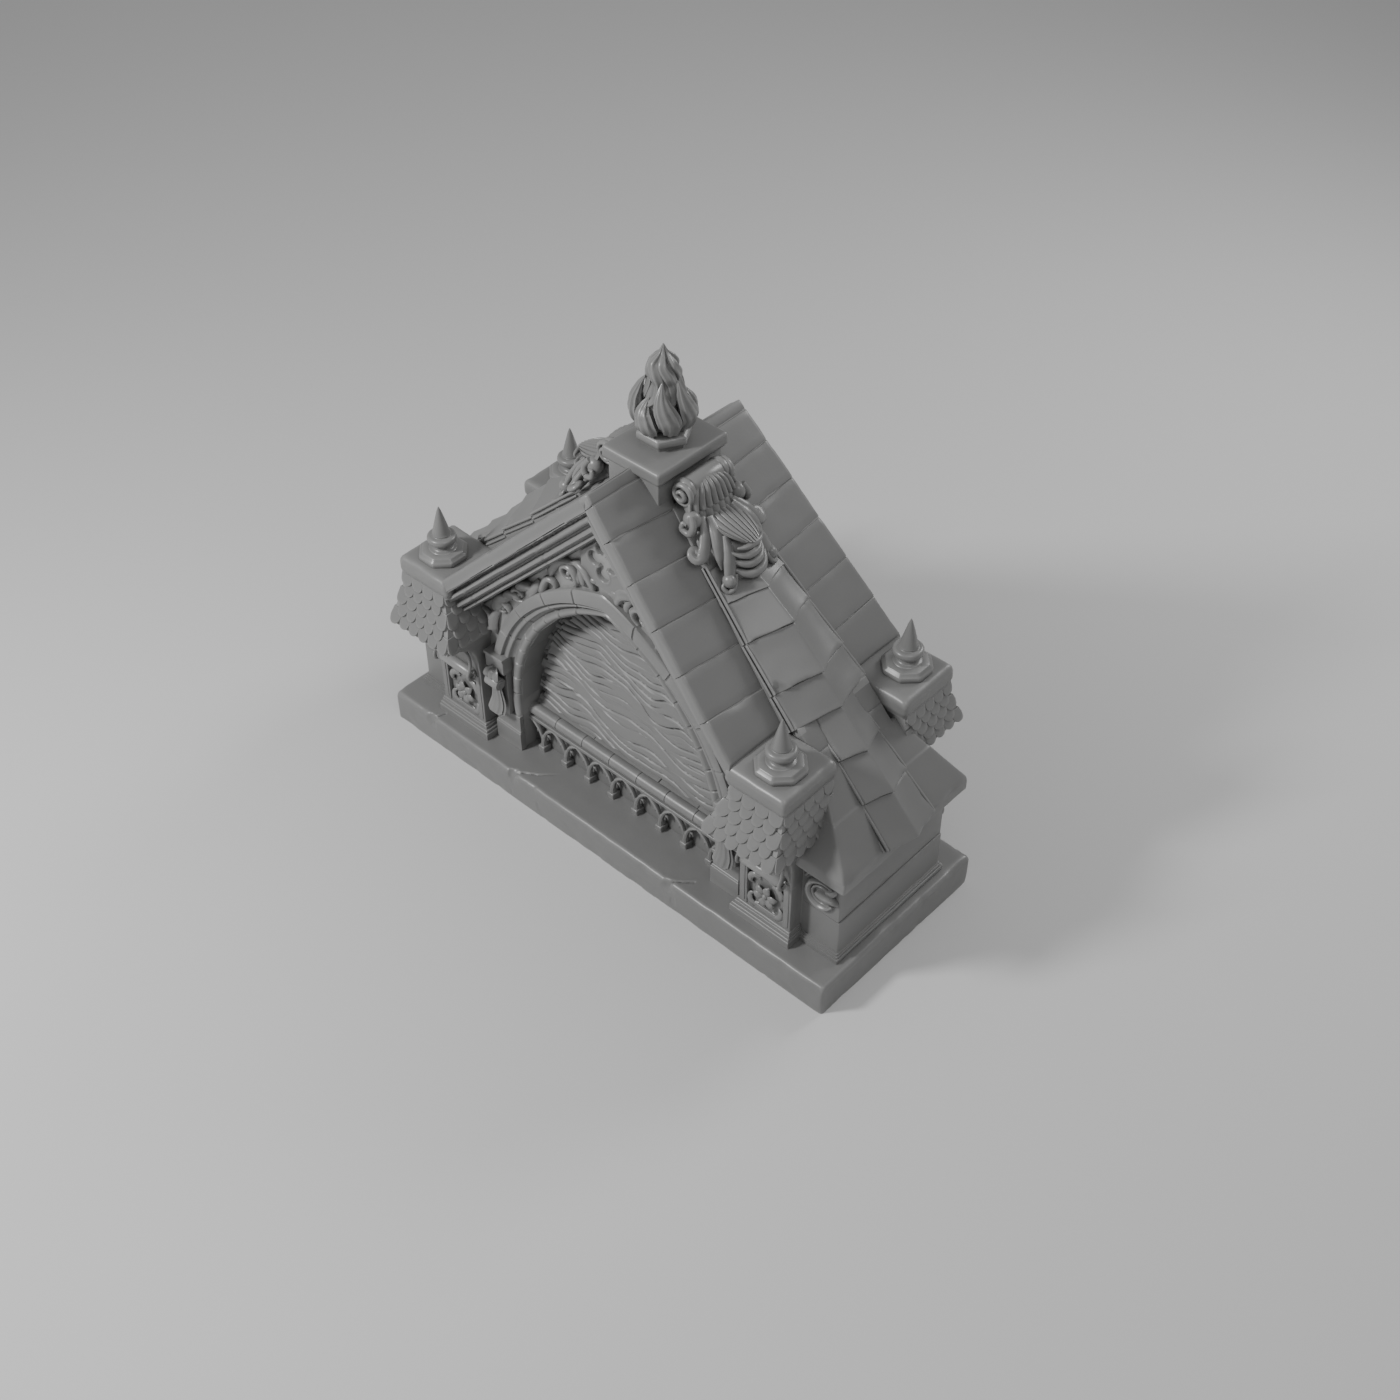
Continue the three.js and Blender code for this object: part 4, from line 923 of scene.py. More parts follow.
def makeEaveRoof(endName, signX, seed):
    rings = hipRings()
    worn = wornRings(rings, 0.10, 0.0013, seed)
    flat = rings.reshape(-1, 3)
    nearLip = np.exp(-np.abs(flat[:, 2] - eave["lip"]) / 0.014)
    ragged = (smooth(rough(flat, 0.05, seed + 5, 3), 0.3, 0.95) * nearLip).reshape(rings.shape[:2])
    worn[..., 0] -= ragged * eave["ragged"][0] * (rings[..., 0] > 1.4)
    worn[..., 2] -= ragged * eave["ragged"][1]
    worn[0] = rings[0]
    half = eave["upperHalf"]
    corner = onSlope(eave["upperTop"], 0, 0.070)
    down = np.array([eave["sum"] - eave["shoulder"], 0, eave["shoulder"]]) - corner
    length = np.linalg.norm(down)
    normal = unit(np.array([-down[2], 0, down[0]]))

    def place(p):
        return (corner + np.outer(p[:, 0], unit(down)) + np.outer(p[:, 1] - half, (0, 1, 0))
                + np.outer(p[:, 2], normal))

    def shape(p):
        p[:, 2] -= eave["groove"] * np.exp(-((p[:, 0] - length * 0.5) / 0.003) ** 2)
        return p
    s, n = np.array(eave["riser"]).T
    riser = loftRings([onSlope(s, y, n) for y in np.linspace(-half, half, 9)])
    grooveLines = [length * 0.5 + d for d in (-0.004, -0.002, 0, 0.002, 0.004)]
    upper = block(place, (length + 0.012, 2 * half), eave["depth"], 0.006, cell=0.03, extra=(grooveLines, ()),
                  wallRows=2, wear=0.0012, chip=0.006, seed=seed + 3, shape=shape, foot=1)
    parts = [loftRings(worn), riser, upper]
    addPiece(f"eaveRoof_{endName}_slabs", parts, f"eave_roof_{endName}", stone, (signX, 1))


# block under the eave: two courses on a stepped plinth, a scroll on each flank
sideBlock = {
    "start": 1.2104, "end": 1.425, "half": 0.385, "scroll": (1.325, 0.565),
    # each course: past the end, past the flank, foot and top above the slab, edge
    "courses": [
        (0.006, 0.0, 0.0, 0.2564, 0.006), (0.0, 0.0, 0.2588, 0.5452, 0.006),
        (0.024, 0.024, 0.0, 0.026, 0.005), (0.016, 0.016, 0.022, 0.038, 0.006),
        (0.010, 0.010, 0.034, 0.050, 0.006), (0.012, 0.008, 0.4676, 0.5452, 0.006),
    ],
    # each limb: width, height, swell, proud, count, sides, flutes, profile and its line from the scroll's eye
    "limbs": [
        (0.036, 0.050, 0.0, 0.004, 40, 10, 0, [0.25, 0.8, 1, 1, 0.9, 0.5],
         spiral((0, 0), 0.088, 0.78, 0.9, 1, 0.80)),
        (0.016, 0.034, 0.0, 0.002, 30, 8, 0, None, spiral((0, 0), 0.056, 0.72, 1.0, 1, 0.9)),
        (0.060, 0.050, 0.010, 0.006, 20, 12, 3, None,
         [(-0.030, -0.010), (0.02, 0.004), (0.060, 0.012), (0.092, -0.006)]),
        (0.034, 0.040, 0.0, 0.004, 16, 10, 2, None, [(-0.002, -0.030), (0.030, -0.034), (0.058, -0.058)]),
        (0.032, 0.036, 0.0, 0.004, 16, 10, 2, None, [(0.020, 0.030), (0.055, 0.048), (0.080, 0.080)]),
        (0.030, 0.036, 0.0, 0.004, 24, 10, 0, None,
         [(-0.100, 0.067), (-0.063, 0.125), (0.005, 0.141), (0.075, 0.125)]),
    ],
}


def makeSideBlock(endName, signX, seed):
    parts = []
    for k, (past, wide, low, high, edge) in enumerate(sideBlock["courses"]):
        x1, y1 = sideBlock["end"] + past, sideBlock["half"] + wide
        low, high = low + gable["foot"], high + gable["foot"]
        parts.append(block(lambda p: np.stack([x1 + p[:, 2], p[:, 0] - y1, low + p[:, 1]], -1),
                           (2 * y1, high - low), x1 - sideBlock["start"], edge, cell=0.05, wallRows=5,
                           wear=0.0010, chip=0.003, seed=seed + k + 1))
    for sy in (-1, 1):
        for width, height, swell, proud, count, around, flutes, profile, line in sideBlock["limbs"]:
            path = onFace(np.array(line) + sideBlock["scroll"], -sideBlock["half"] - proud, swell)
            points, quads, caps = strand(path, width, height, faceOut, count, around, flutes, profile=profile)
            parts.append((points * np.array([1, -sy, 1]), quads, caps))
    addPiece(f"sideBlock_{endName}_courses", parts, f"side_block_{endName}", stone, (signX, 1))


for endName, signX in ends:
    makeEaveRoof(endName, signX, 71 + signX)
    makeSideBlock(endName, signX, 81 + signX)
print("eave roofs and side blocks made")

# piers: stepped base, pilaster strips, rosette panel, cove and scrolled brackets under the skirt
pier = {
    "inner": 0.886, "outer": 1.203, "face": 0.462, "strip": 0.048, "panelFace": 0.438, "bend": 0.008,
    "rosette": (1.040, 0.385), "petals": 6, "roll": (0.022, 0.606, 0.030),
    "edge": [(0.160, 0.872), (0.100, 0.836), (0.056, 0.780), (0.036, 0.710), (0.042, 0.650), (0.056, 0.620),
             (0.050, 0.590), (0.026, 0.580), (0.012, 0.600), (0.022, 0.618)],
    "edgeProfile": [1, 1, 0.9, 0.85, 0.9, 1, 0.8, 0.6],
    # how far it grows, foot, top, edge and chip
    "tiers": [(0.030, gable["foot"], 0.222, 0.006, 0.003), (0.024, 0.218, 0.238, 0.007, 0.0),
              (0.014, 0.232, 0.256, 0.004, 0.0), (0.010, 0.250, 0.270, 0.008, 0.0)],
    # height and how far it grows on the inner, outer and front side
    "cove": [
        (0.560, 0.000, 0.000, 0.000), (0.600, 0.000, 0.001, 0.001), (0.680, 0.003, 0.004, 0.008),
        (0.740, 0.007, 0.010, 0.022), (0.790, 0.013, 0.018, 0.045), (0.830, 0.021, 0.030, 0.082),
        (0.860, 0.029, 0.044, 0.124), (0.876, 0.033, 0.052, 0.150), (0.877, 0.036, 0.058, 0.182),
        (0.884, 0.038, 0.060, 0.196), (0.896, 0.038, 0.062, 0.202), (0.904, 0.036, 0.060, 0.198),
    ],
    # from the rosette's middle, for each quarter and each half
    "leaf": [(0.040, 0.088), (0.068, 0.100), (0.092, 0.080), (0.094, 0.050), (0.078, 0.034)],
    "swag": [(0.004, 0.163), (0.040, 0.135), (0.070, 0.151), (0.096, 0.120)],
}


def pierCove():
    inner, outer, face, r = pier["inner"], pier["outer"], pier["face"], pier["bend"]
    cove = np.array(pier["cove"])
    rings = []
    for z in np.linspace(cove[0, 0], cove[-1, 0], 34):
        a, b, c = [np.interp(z, cove[:, 0], cove[:, k]) for k in (1, 2, 3)]
        x0, x1, y0 = inner - a, outer + b, -face - c
        flank = np.linspace(-gable["wall"], y0 + r, 6)
        front = [(x, y0) for x in np.linspace(x0 + r, x1 - r, 10)]
        outline = [(x0, y) for y in flank] + [(x0 + 0.3 * r, y0 + 0.3 * r)] + front
        outline += [(x1 - 0.3 * r, y0 + 0.3 * r)] + [(x1, y) for y in flank[::-1]]
        rings.append([(x, y, z) for x, y in outline])
    return rings


def pierRosette():
    def carve(line, y, swell, width, height, count, around, more):
        line = np.array(line) + pier["rosette"]
        return strand(onFace(line, y, swell), width, height, faceOut, count, around, 2, **more)
    cx, cz = pier["rosette"]
    deep = -pier["panelFace"] - 0.006
    parts = []
    for k in range(pier["petals"]):
        a = k * 2 * math.pi / pier["petals"] + 0.26
        petal = [(math.cos(a) * r, math.sin(a) * r) for r in (0.012, 0.034, 0.058, 0.074)]
        more = {"fluteDepth": 0.14, "profile": [0.45, 0.85, 1, 0.7, 0.15]}
        parts.append(carve(petal, deep - 0.006, 0.010, 0.040, 0.022, 14, 12, more))
    parts.append(ball((cx, deep - 0.010, cz), (0.016, 0.014, 0.016)))
    for quarter in ((-1, 1), (1, 1), (-1, -1), (1, -1)):
        leaf = np.array(pier["leaf"]) * quarter
        parts.append(carve(leaf, deep, 0.008, 0.030, 0.024, 22, 10, {"fluteDepth": 0.16}))
    for half in ((-1, 1), (1, 1)):
        parts.append(carve(np.array(pier["swag"]) * half, deep, 0.010, 0.034, 0.028, 22, 10, {}))
    return parts


def makePier(corner, mirror, seed):
    inner, outer, face, strip = [pier[key] for key in ("inner", "outer", "face", "strip")]
    back = gable["wall"]
    parts = []
    for k, (grow, z0, z1, edge, chip) in enumerate(pier["tiers"]):
        x0, x1, y0 = inner - grow * 1.2, outer + grow * 0.6, -face - grow
        parts.append(block(lambda p: np.stack([x0 + p[:, 0], y0 + p[:, 1], z1 + p[:, 2]], -1),
                           (x1 - x0, -back - y0), z1 - z0, edge, cell=0.04, corner=0.003, wallRows=2,
                           wear=0.0009, chip=chip, seed=seed + k + 1))
    boxes = [
        (inner, outer, 0.262, 0.600, pier["panelFace"], 0.004),
        (inner, inner + strip, 0.262, 0.600, face, 0.004), (outer - strip, outer, 0.262, 0.600, face, 0.004),
        (inner, outer, 0.562, 0.640, face, 0.004),
        (inner + strip, outer - strip, 0.262, 0.300, face - 0.006, 0.004),
        (inner + 0.012, inner + strip - 0.012, 0.285, 0.585, face + 0.004, 0.003),
        (outer - strip + 0.012, outer - 0.012, 0.285, 0.585, face + 0.004, 0.003),
    ]
    for k, (x0, x1, z0, z1, front, edge) in enumerate(boxes):
        parts.append(block(lambda p: np.stack([x0 + p[:, 0], -front - p[:, 2], z0 + p[:, 1]], -1),
                           (x1 - x0, z1 - z0), front - back + 0.002, edge, cell=0.035, wallRows=2,
                           wear=0.0008, chip=0.0025, seed=seed + k + 5))
    parts.append(loftRings(wornRings(pierCove(), 0.09, 0.0012, seed)))
    rollY, rollZ, rollR = pier["roll"]
    parts.append(rollAlongX(inner + 0.034, outer - 0.034, -face - rollY, rollZ, rollR))
    for x in (inner + 0.030, outer - 0.030):
        edge = [(x, -face - y, z) for y, z in pier["edge"]]
        parts.append(strand(edge, 0.022, 0.018, (1, 0, 0), 44, 10, profile=pier["edgeProfile"]))
    if mirror[1] > 0:
        parts += pierRosette()
    addPiece(f"pier_{corner}_shaft", parts, f"pier_{corner}", stone, mirror)


for corner, mirror in corners:
    makePier(corner, mirror, 91 + 3 * mirror[0] + 7 * mirror[1])
print("piers made")

# arch ring: each point of the section, half width, apex and depth, follows its own pointed arch
arch = {
    "steps": 44, "joint": 0.0065, "jointLines": (-0.0062, -0.0026, 0.0026, 0.0062), "jointHalf": 0.0032,
    "foot": {"outer": 0.8004, "inner": 0.4084},
    "outer": [
        (0.845, 1.612, 0.3854), (0.845, 1.612, 0.420), (0.842, 1.606, 0.427), (0.836, 1.597, 0.430),
        (0.804, 1.540, 0.430), (0.797, 1.530, 0.428), (0.795, 1.527, 0.422), (0.793, 1.525, 0.413),
        (0.786, 1.521, 0.411), (0.781, 1.519, 0.414), (0.774, 1.517, 0.418), (0.764, 1.514, 0.419),
        (0.756, 1.511, 0.416), (0.752, 1.509, 0.408), (0.749, 1.508, 0.400), (0.738, 1.503, 0.394),
        (0.726, 1.498, 0.3854),
    ],
    "inner": [
        (0.735, 1.502, 0.3854), (0.730, 1.500, 0.391), (0.720, 1.495, 0.396), (0.712, 1.491, 0.404),
        (0.700, 1.484, 0.409), (0.688, 1.477, 0.408), (0.677, 1.470, 0.402), (0.671, 1.467, 0.393),
        (0.670, 1.466, 0.385), (0.670, 1.466, 0.262), (0.735, 1.502, 0.262),
    ],
    "jointAt": {"outer": [0.16, 0.36, 0.60, 0.82],
                "inner": [0.05, 0.14, 0.23, 0.32, 0.41, 0.50, 0.60, 0.71, 0.83]},
}


def archCentre(half, apex):
    # how far the centre lies past the middle, and the radius
    rise = apex - gable["spring"]
    centre = (rise * rise - half * half) / (2 * half)
    return centre, half + centre


def archLine(half, apex, angles):
    centre, radius = archCentre(half, apex)
    turn = math.asin((apex - gable["spring"]) / radius) * angles
    return np.stack([np.cos(turn) * radius - centre, gable["spring"] + np.sin(turn) * radius], -1)


def makeArch(sideName, signY, seed):
    parts = []
    for key, foot in arch["foot"].items():
        joints = np.array(arch["jointAt"][key])
        extra = (joints[:, None] + np.array(arch["jointLines"])).ravel()
        angles = np.unique(np.concatenate([np.linspace(0, 1, arch["steps"]), extra]))
        cut = np.abs(angles[:, None] - joints).min(1) < arch["jointHalf"]
        lines = []
        for k, (half, apex, y) in enumerate(arch[key]):
            right = archLine(half, apex, angles)
            depth = np.where(cut & (0 < k < len(arch[key]) - 1), arch["joint"], 0)
            if foot > gable["spring"]:
                t = np.interp(foot, right[:, 1], angles)
                right = archLine(half, apex, t + (1 - t) * angles)
            else:
                right = np.vstack([[half, foot], right])
                depth = np.concatenate([[0], depth])
            right[-1, 0] = 0
            depth = np.concatenate([depth, depth[-2::-1]])
            whole = np.vstack([right, right[-2::-1] * (-1, 1)])
            lines.append(np.stack([whole[:, 0], -(y - depth * (y > 0.3)), whole[:, 1]], -1))
        parts.append(loftRings(wornRings(np.transpose(np.array(lines), (1, 0, 2)), 0.10, 0.0010, seed)))
    addPiece(f"archivolt_{sideName}_ring", parts, f"archivolt_{sideName}", stone, (1, signY), sharp=35)


# boards behind the arch: lapped, with long wavy gouges along the grain
boardField = {
    "cell": (0.0072, 0.0025), "face": 0.248, "lap": 0.030, "count": 9, "low": 0.3846, "firstLap": 0.452,
    "pitch": 0.034, "gouge": 0.0115, "knot": (-0.400, 0.640), "half": 0.668, "apex": 1.464, "endDrop": 0.024,
    "endReach": 0.075, "coarser": 1.7,
}


def boardGouges(x, z, board, seed):
    # depth of the gouges, which wander along the grain and bend round the knot
    knotX, knotZ = boardField["knot"]
    around = np.hypot((x - knotX) / 1.9, z - knotZ)
    bend = 0.016 * np.exp(-(around / 0.05) ** 2) * np.sign(z - knotZ)
    wave = 0.020 * np.sin(2 * np.pi * (x / 0.46 + 0.55 * z) + 0.9 * board)
    wander = 0.016 * rough(np.stack([x / 0.17, z / 0.22, board * 0.6], -1), 1.0, seed + 3, 2)
    phase = (z + wave + wander + bend + 0.07 * x) / boardField["pitch"] + 0.37 * board
    line = np.floor(phase)
    share = phase - line
    odd = np.stack([x / 0.16, line * 1.71, board * 2.3], -1)
    strength = smooth(rough(odd * np.array([0.55, 1, 1]), 1.0, seed + 9, 2), -0.75, 0.15)
    width = 0.105 + 0.035 * valueNoise(odd * 0.7, seed + 12)
    gouge = boardField["gouge"] * strength * np.exp(-np.abs((share - 0.5) / width) ** 1.4)
    knot = 0.004 * np.cos(np.minimum(around / 0.010, 3 * np.pi)) * np.exp(-(around / 0.030) ** 2)
    return gouge - knot


def makeBoards(sideName, signY, seed):
    coarse = 1.0 if sideName == "front" else boardField["coarser"]
    half, apex, low = boardField["half"], boardField["apex"], boardField["low"]
    rows = int((apex - low) / boardField["cell"][1] / coarse)
    cols = int(2 * half / boardField["cell"][0] / coarse)
    centre, radius = archCentre(half, apex)
    z = np.linspace(low, apex - 0.004, rows)
    arc = np.sqrt(np.maximum(radius ** 2 - (z - gable["spring"]) ** 2, 0)) - centre
    reach = np.where(z > gable["spring"], arc, half)
    x = (reach[:, None] * np.linspace(-1, 1, cols)).ravel()
    z = np.repeat(z, cols)
    flat = np.stack([x, z, np.zeros(len(x))], -1)
    waver = 0.008 * rough(flat * np.array([2.2, 0.4, 1]), 1.0, seed)
    level = (z - boardField["firstLap"] + waver) / ((apex - boardField["firstLap"]) / boardField["count"])
    board = np.floor(level)
    up = level - board
    lean = boardField["lap"] * (1 - up) * smooth(up, 0.0, 0.025)
    slit = 0.007 * smooth(1 - up, 0.05, 0.0)
    y = boardField["face"] + lean - boardGouges(x, z, board, seed) - slit
    for hand in (-1, 1):
        jag = valueNoise(np.stack([board * 1.37 + hand, np.floor(up * 3) * 0.9, 0 * x], -1), seed + 21)
        end = np.repeat(reach, cols) - boardField["endReach"] * (0.45 + 0.35 * jag)
        y = y - boardField["endDrop"] * smooth(hand * x - end, 0.0, 0.008)
    part = sheetGrid(np.stack([x, -y, z], -1).reshape(rows, cols, 3), np.array([0, 0.030, 0]))
    name = f"boards_{sideName}"
    addPiece(f"{name}_field", [part], name, boardWood, (1, signY))


# roll sill in short lengths, with the sloping ledge behind it
sill = {
    "half": 0.6696, "radius": 0.034, "front": 0.345, "top": 0.452, "bottom": 0.384, "lengths": 7,
    "joint": 0.0035, "jointLines": (-0.003, -0.0012, 0.0012, 0.003), "ledgeJoints": (-0.25, 0.20, 0.46),
    "heel": [(-0.290, 0.432), (-0.264, 0.432), (-0.264, 0.3845), (-0.292, 0.3845)],
}


def makeSill(sideName, signY, seed):
    half, r = sill["half"], sill["radius"]
    joints = np.linspace(-half, half, sill["lengths"] + 1)[1:-1]
    lines = (joints[:, None] + np.array(sill["jointLines"])).ravel()
    angle = np.linspace(1.5, 0.30, 16) * np.pi
    rings = []
    for x in np.unique(np.concatenate([np.linspace(-half, half, 46), lines])):
        cut = sill["joint"] if min(abs(x - joints)) < 0.002 else 0.0
        y = -sill["front"] + r + np.cos(angle) * (r - cut)
        z = (sill["top"] + sill["bottom"]) / 2 + np.sin(angle) * (r - cut)
        rings.append([(x, b, c) for b, c in list(zip(y, z)) + sill["heel"]])
    parts = [loftRings(wornRings(rings, 0.09, 0.0008, seed))]
    stops = [-half, *sill["ledgeJoints"], half]
    for k, (x0, x1) in enumerate(zip(stops[:-1], stops[1:])):
        def place(p):
            z = 0.438 + 0.018 * p[:, 1] / 0.052 + 0.0015 * (k % 2) + p[:, 2]
            return np.stack([x0 + 0.001 + p[:, 0], -0.312 + p[:, 1], z], -1)
        parts.append(block(place, (x1 - x0 - 0.002, 0.048), 0.040, 0.005, cell=0.05, wallRows=1, wear=0.0010,
                           chip=0.003, seed=seed + k))
    addPiece(f"sill_{sideName}_roll", parts, f"sill_{sideName}", stone, (1, signY))


# small arcade under the sill: stems on foot blocks, arms that part under the roll
arcade = {
    "half": 0.6696, "bays": 8, "wall": 0.299, "back": -0.2924, "face": 0.330, "low": 0.1828, "high": 0.3836,
    "arm": [(0.004, 0.236), (0.010, 0.276), (0.026, 0.314), (0.052, 0.344), (0.0837, 0.366)],
    "cusp": [(0.022, 0.306), (0.040, 0.296), (0.047, 0.276)],
    "stem": [(0, 0.196), (0, 0.220), (0, 0.250), (0, 0.285)],
}


def makeArcade(sideName, signY):
    half, low, high, face = arcade["half"], arcade["low"], arcade["high"], -arcade["face"]
    pitch = 2 * half / arcade["bays"]
    wall, back, fillet = -arcade["wall"], arcade["back"], (-half, -0.344, 0.362)
    parts = [boxStone((-half, wall, low), (half, back, high), 0.002, faceOut, cell=0.06, wallRows=1),
             boxStone(fillet, (half, wall - 0.0005, high), 0.005, faceOut, cell=0.06, wallRows=2)]
    for i in range(arcade["bays"]):
        x = -half + pitch * (i + 0.5)
        limbs = []
        for d in (-1, 1):
            limbs.append((d, "arm", 0.0, 0.024, 0.032, 20, [0.7, 0.85, 0.9, 0.95, 1.0]))
            if sideName == "front":
                limbs.append((d, "cusp", 0.004, 0.020, 0.022, 12, [1, 0.9, 0.35]))
        limbs.append((1, "stem", 0.0, 0.032, 0.038, 16, [1.0, 0.95, 0.85, 0.5]))
        for d, key, behind, width, height, count, profile in limbs:
            line = onFace([(x + d * a, z) for a, z in arcade[key]], face + behind)
            parts.append(strand(line, width, height, faceOut, count, 8, profile=profile))
        parts.append(boxStone((x - 0.022, -0.354, low), (x + 0.022, -0.300, 0.216), 0.006, cell=0.03,
                              corner=0.006, wallRows=2))
    addPiece(f"arcade_{sideName}_tracery", parts, f"arcade_{sideName}", carvedStone, (1, signY))


for sideName, signY in sides:
    makeArch(sideName, signY, 111 + signY)
    makeBoards(sideName, signY, 121 + signY)
    makeSill(sideName, signY, 131 + signY)
    makeArcade(sideName, signY)
print("arch, boards, sill and arcade made")

# jambs: plinth, pedestal, scrolled console and impost
jamb = {
    "console": 0.778, "roll": (0.048, -0.462, 0.632, 0.034),
    # each stone: inner and outer x, foot, top, front, edge and chip
    "stones": [
        (0.662, 0.846, gable["foot"], 0.296, 0.422, 0.005, 0.003),
        (0.665, 0.843, 0.290, 0.308, 0.418, 0.009, 0),
        (0.670, 0.840, 0.300, 0.396, 0.411, 0.005, 0.003), (0.666, 0.842, 0.388, 0.408, 0.414, 0.006, 0.003),
        (0.718, 0.846, 0.700, 0.800, 0.452, 0.005, 0.003), (0.714, 0.848, 0.786, 0.800, 0.460, 0.004, 0.003),
        (0.722, 0.842, 0.690, 0.712, 0.444, 0.008, 0), (0.728, 0.828, 0.400, 0.700, 0.424, 0.004, 0.003),
    ],
    "fan": [(-0.446, 0.650), (-0.452, 0.590), (-0.448, 0.530), (-0.450, 0.480), (-0.466, 0.440),
            (-0.478, 0.424)],
    "leaf": [(0.010, -0.440, 0.712), (0.026, -0.474, 0.706), (0.034, -0.486, 0.680), (0.030, -0.480, 0.656)],
}


def makeJamb(corner, mirror, seed):
    parts = []
    for k, (x0, x1, z0, z1, front, edge, chip) in enumerate(jamb["stones"]):
        parts.append(block(lambda p: np.stack([x0 + p[:, 0], -front + p[:, 1], z1 + p[:, 2]], -1),
                           (x1 - x0, front - gable["wall"]), z1 - z0, edge, cell=0.035, corner=0.003,
                           wallRows=3, wear=0.0010, chip=chip, seed=seed + k + 1))
    x = jamb["console"]
    half, y, z, radius = jamb["roll"]
    parts.append(rollAlongX(x - half, x + half, y, z, radius))
    fan = [(x, y, z) for y, z in jamb["fan"]]
    parts.append(strand(fan, 0.112, 0.040, faceOut, 40, 40, flutes=10, fluteDepth=0.10,
                        profile=[0.50, 0.56, 0.66, 0.80, 0.95, 1.0, 0.7]))
    for d in (-1, 0, 1):
        leaf = [(x + d * a, y, z) for a, y, z in jamb["leaf"]]
        parts.append(strand(leaf, 0.040, 0.020, faceOut, 22, 14, 3, 0.12, [0.6, 1, 0.9, 0.4]))
    addPiece(f"jamb_{corner}_console", parts, f"jamb_{corner}", stone, mirror)


# spandrels: scrolls and curled leaves beside a pierced quatrefoil
spandrel = {
    "wall": 0.3954, "boss": 0.415, "quatrefoil": (0.0, 1.800), "reach": (0.050, 0.072), "lobe": 0.036,
    "heart": 0.041, "pocket": 0.027, "foot": 0.818, "field": [(0.810, 0.818), (0.906, 1.018), (0.0, 1.940)],
    "inner": (0.760, 1.510), "cell": 0.004, "plateHalf": 0.145, "plateFoot": 1.635, "plateHigh": 0.300,
    "plateTop": 1.942, "eyes": [(0.862, 0.965), (0.722, 1.118), (0.596, 1.275), (0.236, 1.602)],
    # each curl: width, height, swell, flutes and its line on the wall, for the right half
    "curls": [
        (0.036, 0.060, 0.004, 0, spiral((0.862, 0.965), 0.066, 0.95, 1.3, 1, 0.42, 11)),
        (0.050, 0.050, 0.012, 3, [(0.800, 0.900), (0.806, 0.960), (0.790, 1.030), (0.760, 1.075)]),
        (0.034, 0.056, 0.006, 0, spiral((0.722, 1.118), 0.054, 0.95, 3.6, -1, 0.40, 11)),
        (0.060, 0.048, 0.016, 3, [(0.790, 1.050), (0.762, 1.120), (0.715, 1.190), (0.660, 1.215)]),
        (0.052, 0.046, 0.014, 3, [(0.700, 1.170), (0.672, 1.235), (0.622, 1.262), (0.590, 1.235)]),
        (0.032, 0.052, 0.006, 0, spiral((0.596, 1.275), 0.044, 0.95, 4.2, 1, 0.42, 11)),
        (0.056, 0.048, 0.016, 3, [(0.610, 1.290), (0.568, 1.345), (0.520, 1.372), (0.478, 1.352)]),
        (0.046, 0.046, 0.014, 2, [(0.540, 1.300), (0.505, 1.335), (0.462, 1.400), (0.452, 1.440)]),
        (0.040, 0.054, 0.012, 0, [(0.452, 1.375), (0.420, 1.410), (0.398, 1.460), (0.372, 1.500),
                                  (0.338, 1.500), (0.326, 1.476), (0.344, 1.462)]),
        (0.036, 0.060, 0.006, 0, spiral((0.236, 1.602), 0.062, 1.05, 4.2, -1, 0.38, 13)),
        (0.044, 0.050, 0.010, 2, [(0.372, 1.500), (0.350, 1.560), (0.308, 1.628), (0.250, 1.664),
                                  (0.190, 1.680)]),
        (0.058, 0.044, 0.014, 3, [(0.230, 1.672), (0.165, 1.694), (0.112, 1.672), (0.080, 1.620),
                                  (0.072, 1.596)]),
        (0.034, 0.038, 0.010, 2, [(0.180, 1.676), (0.150, 1.640), (0.140, 1.605), (0.150, 1.578)]),
        (0.030, 0.036, 0.008, 2, [(0.200, 1.640), (0.172, 1.610), (0.178, 1.570)]),
        (0.030, 0.040, 0.010, 2, [(0.030, 1.640), (0.066, 1.655), (0.096, 1.640), (0.110, 1.612)]),
    ],
}


def spandrelField(wall):
    # the wall between the arch ring and the cornice
    along = np.linspace(0, 1, 31)
    ring = archLine(*spandrel["inner"], along)
    start = np.interp(spandrel["foot"], ring[:, 1], along)
    inside = archLine(*spandrel["inner"], start + (1 - start) * along)
    field = np.array(spandrel["field"])
    lengths = np.concatenate([[0], np.cumsum(np.linalg.norm(np.diff(field, axis=0), axis=1))])
    outside = np.column_stack([np.interp(along * lengths[-1], lengths, field[:, k]) for k in (0, 1)])
    rows = []
    for sx in (-1, 1):
        rows += [[(sx * x, wall, z) for x, z in row] for row in zip(inside[::-sx], outside[::-sx])]
    return sheetGrid(rows, np.array([0, 0.010, 0]))


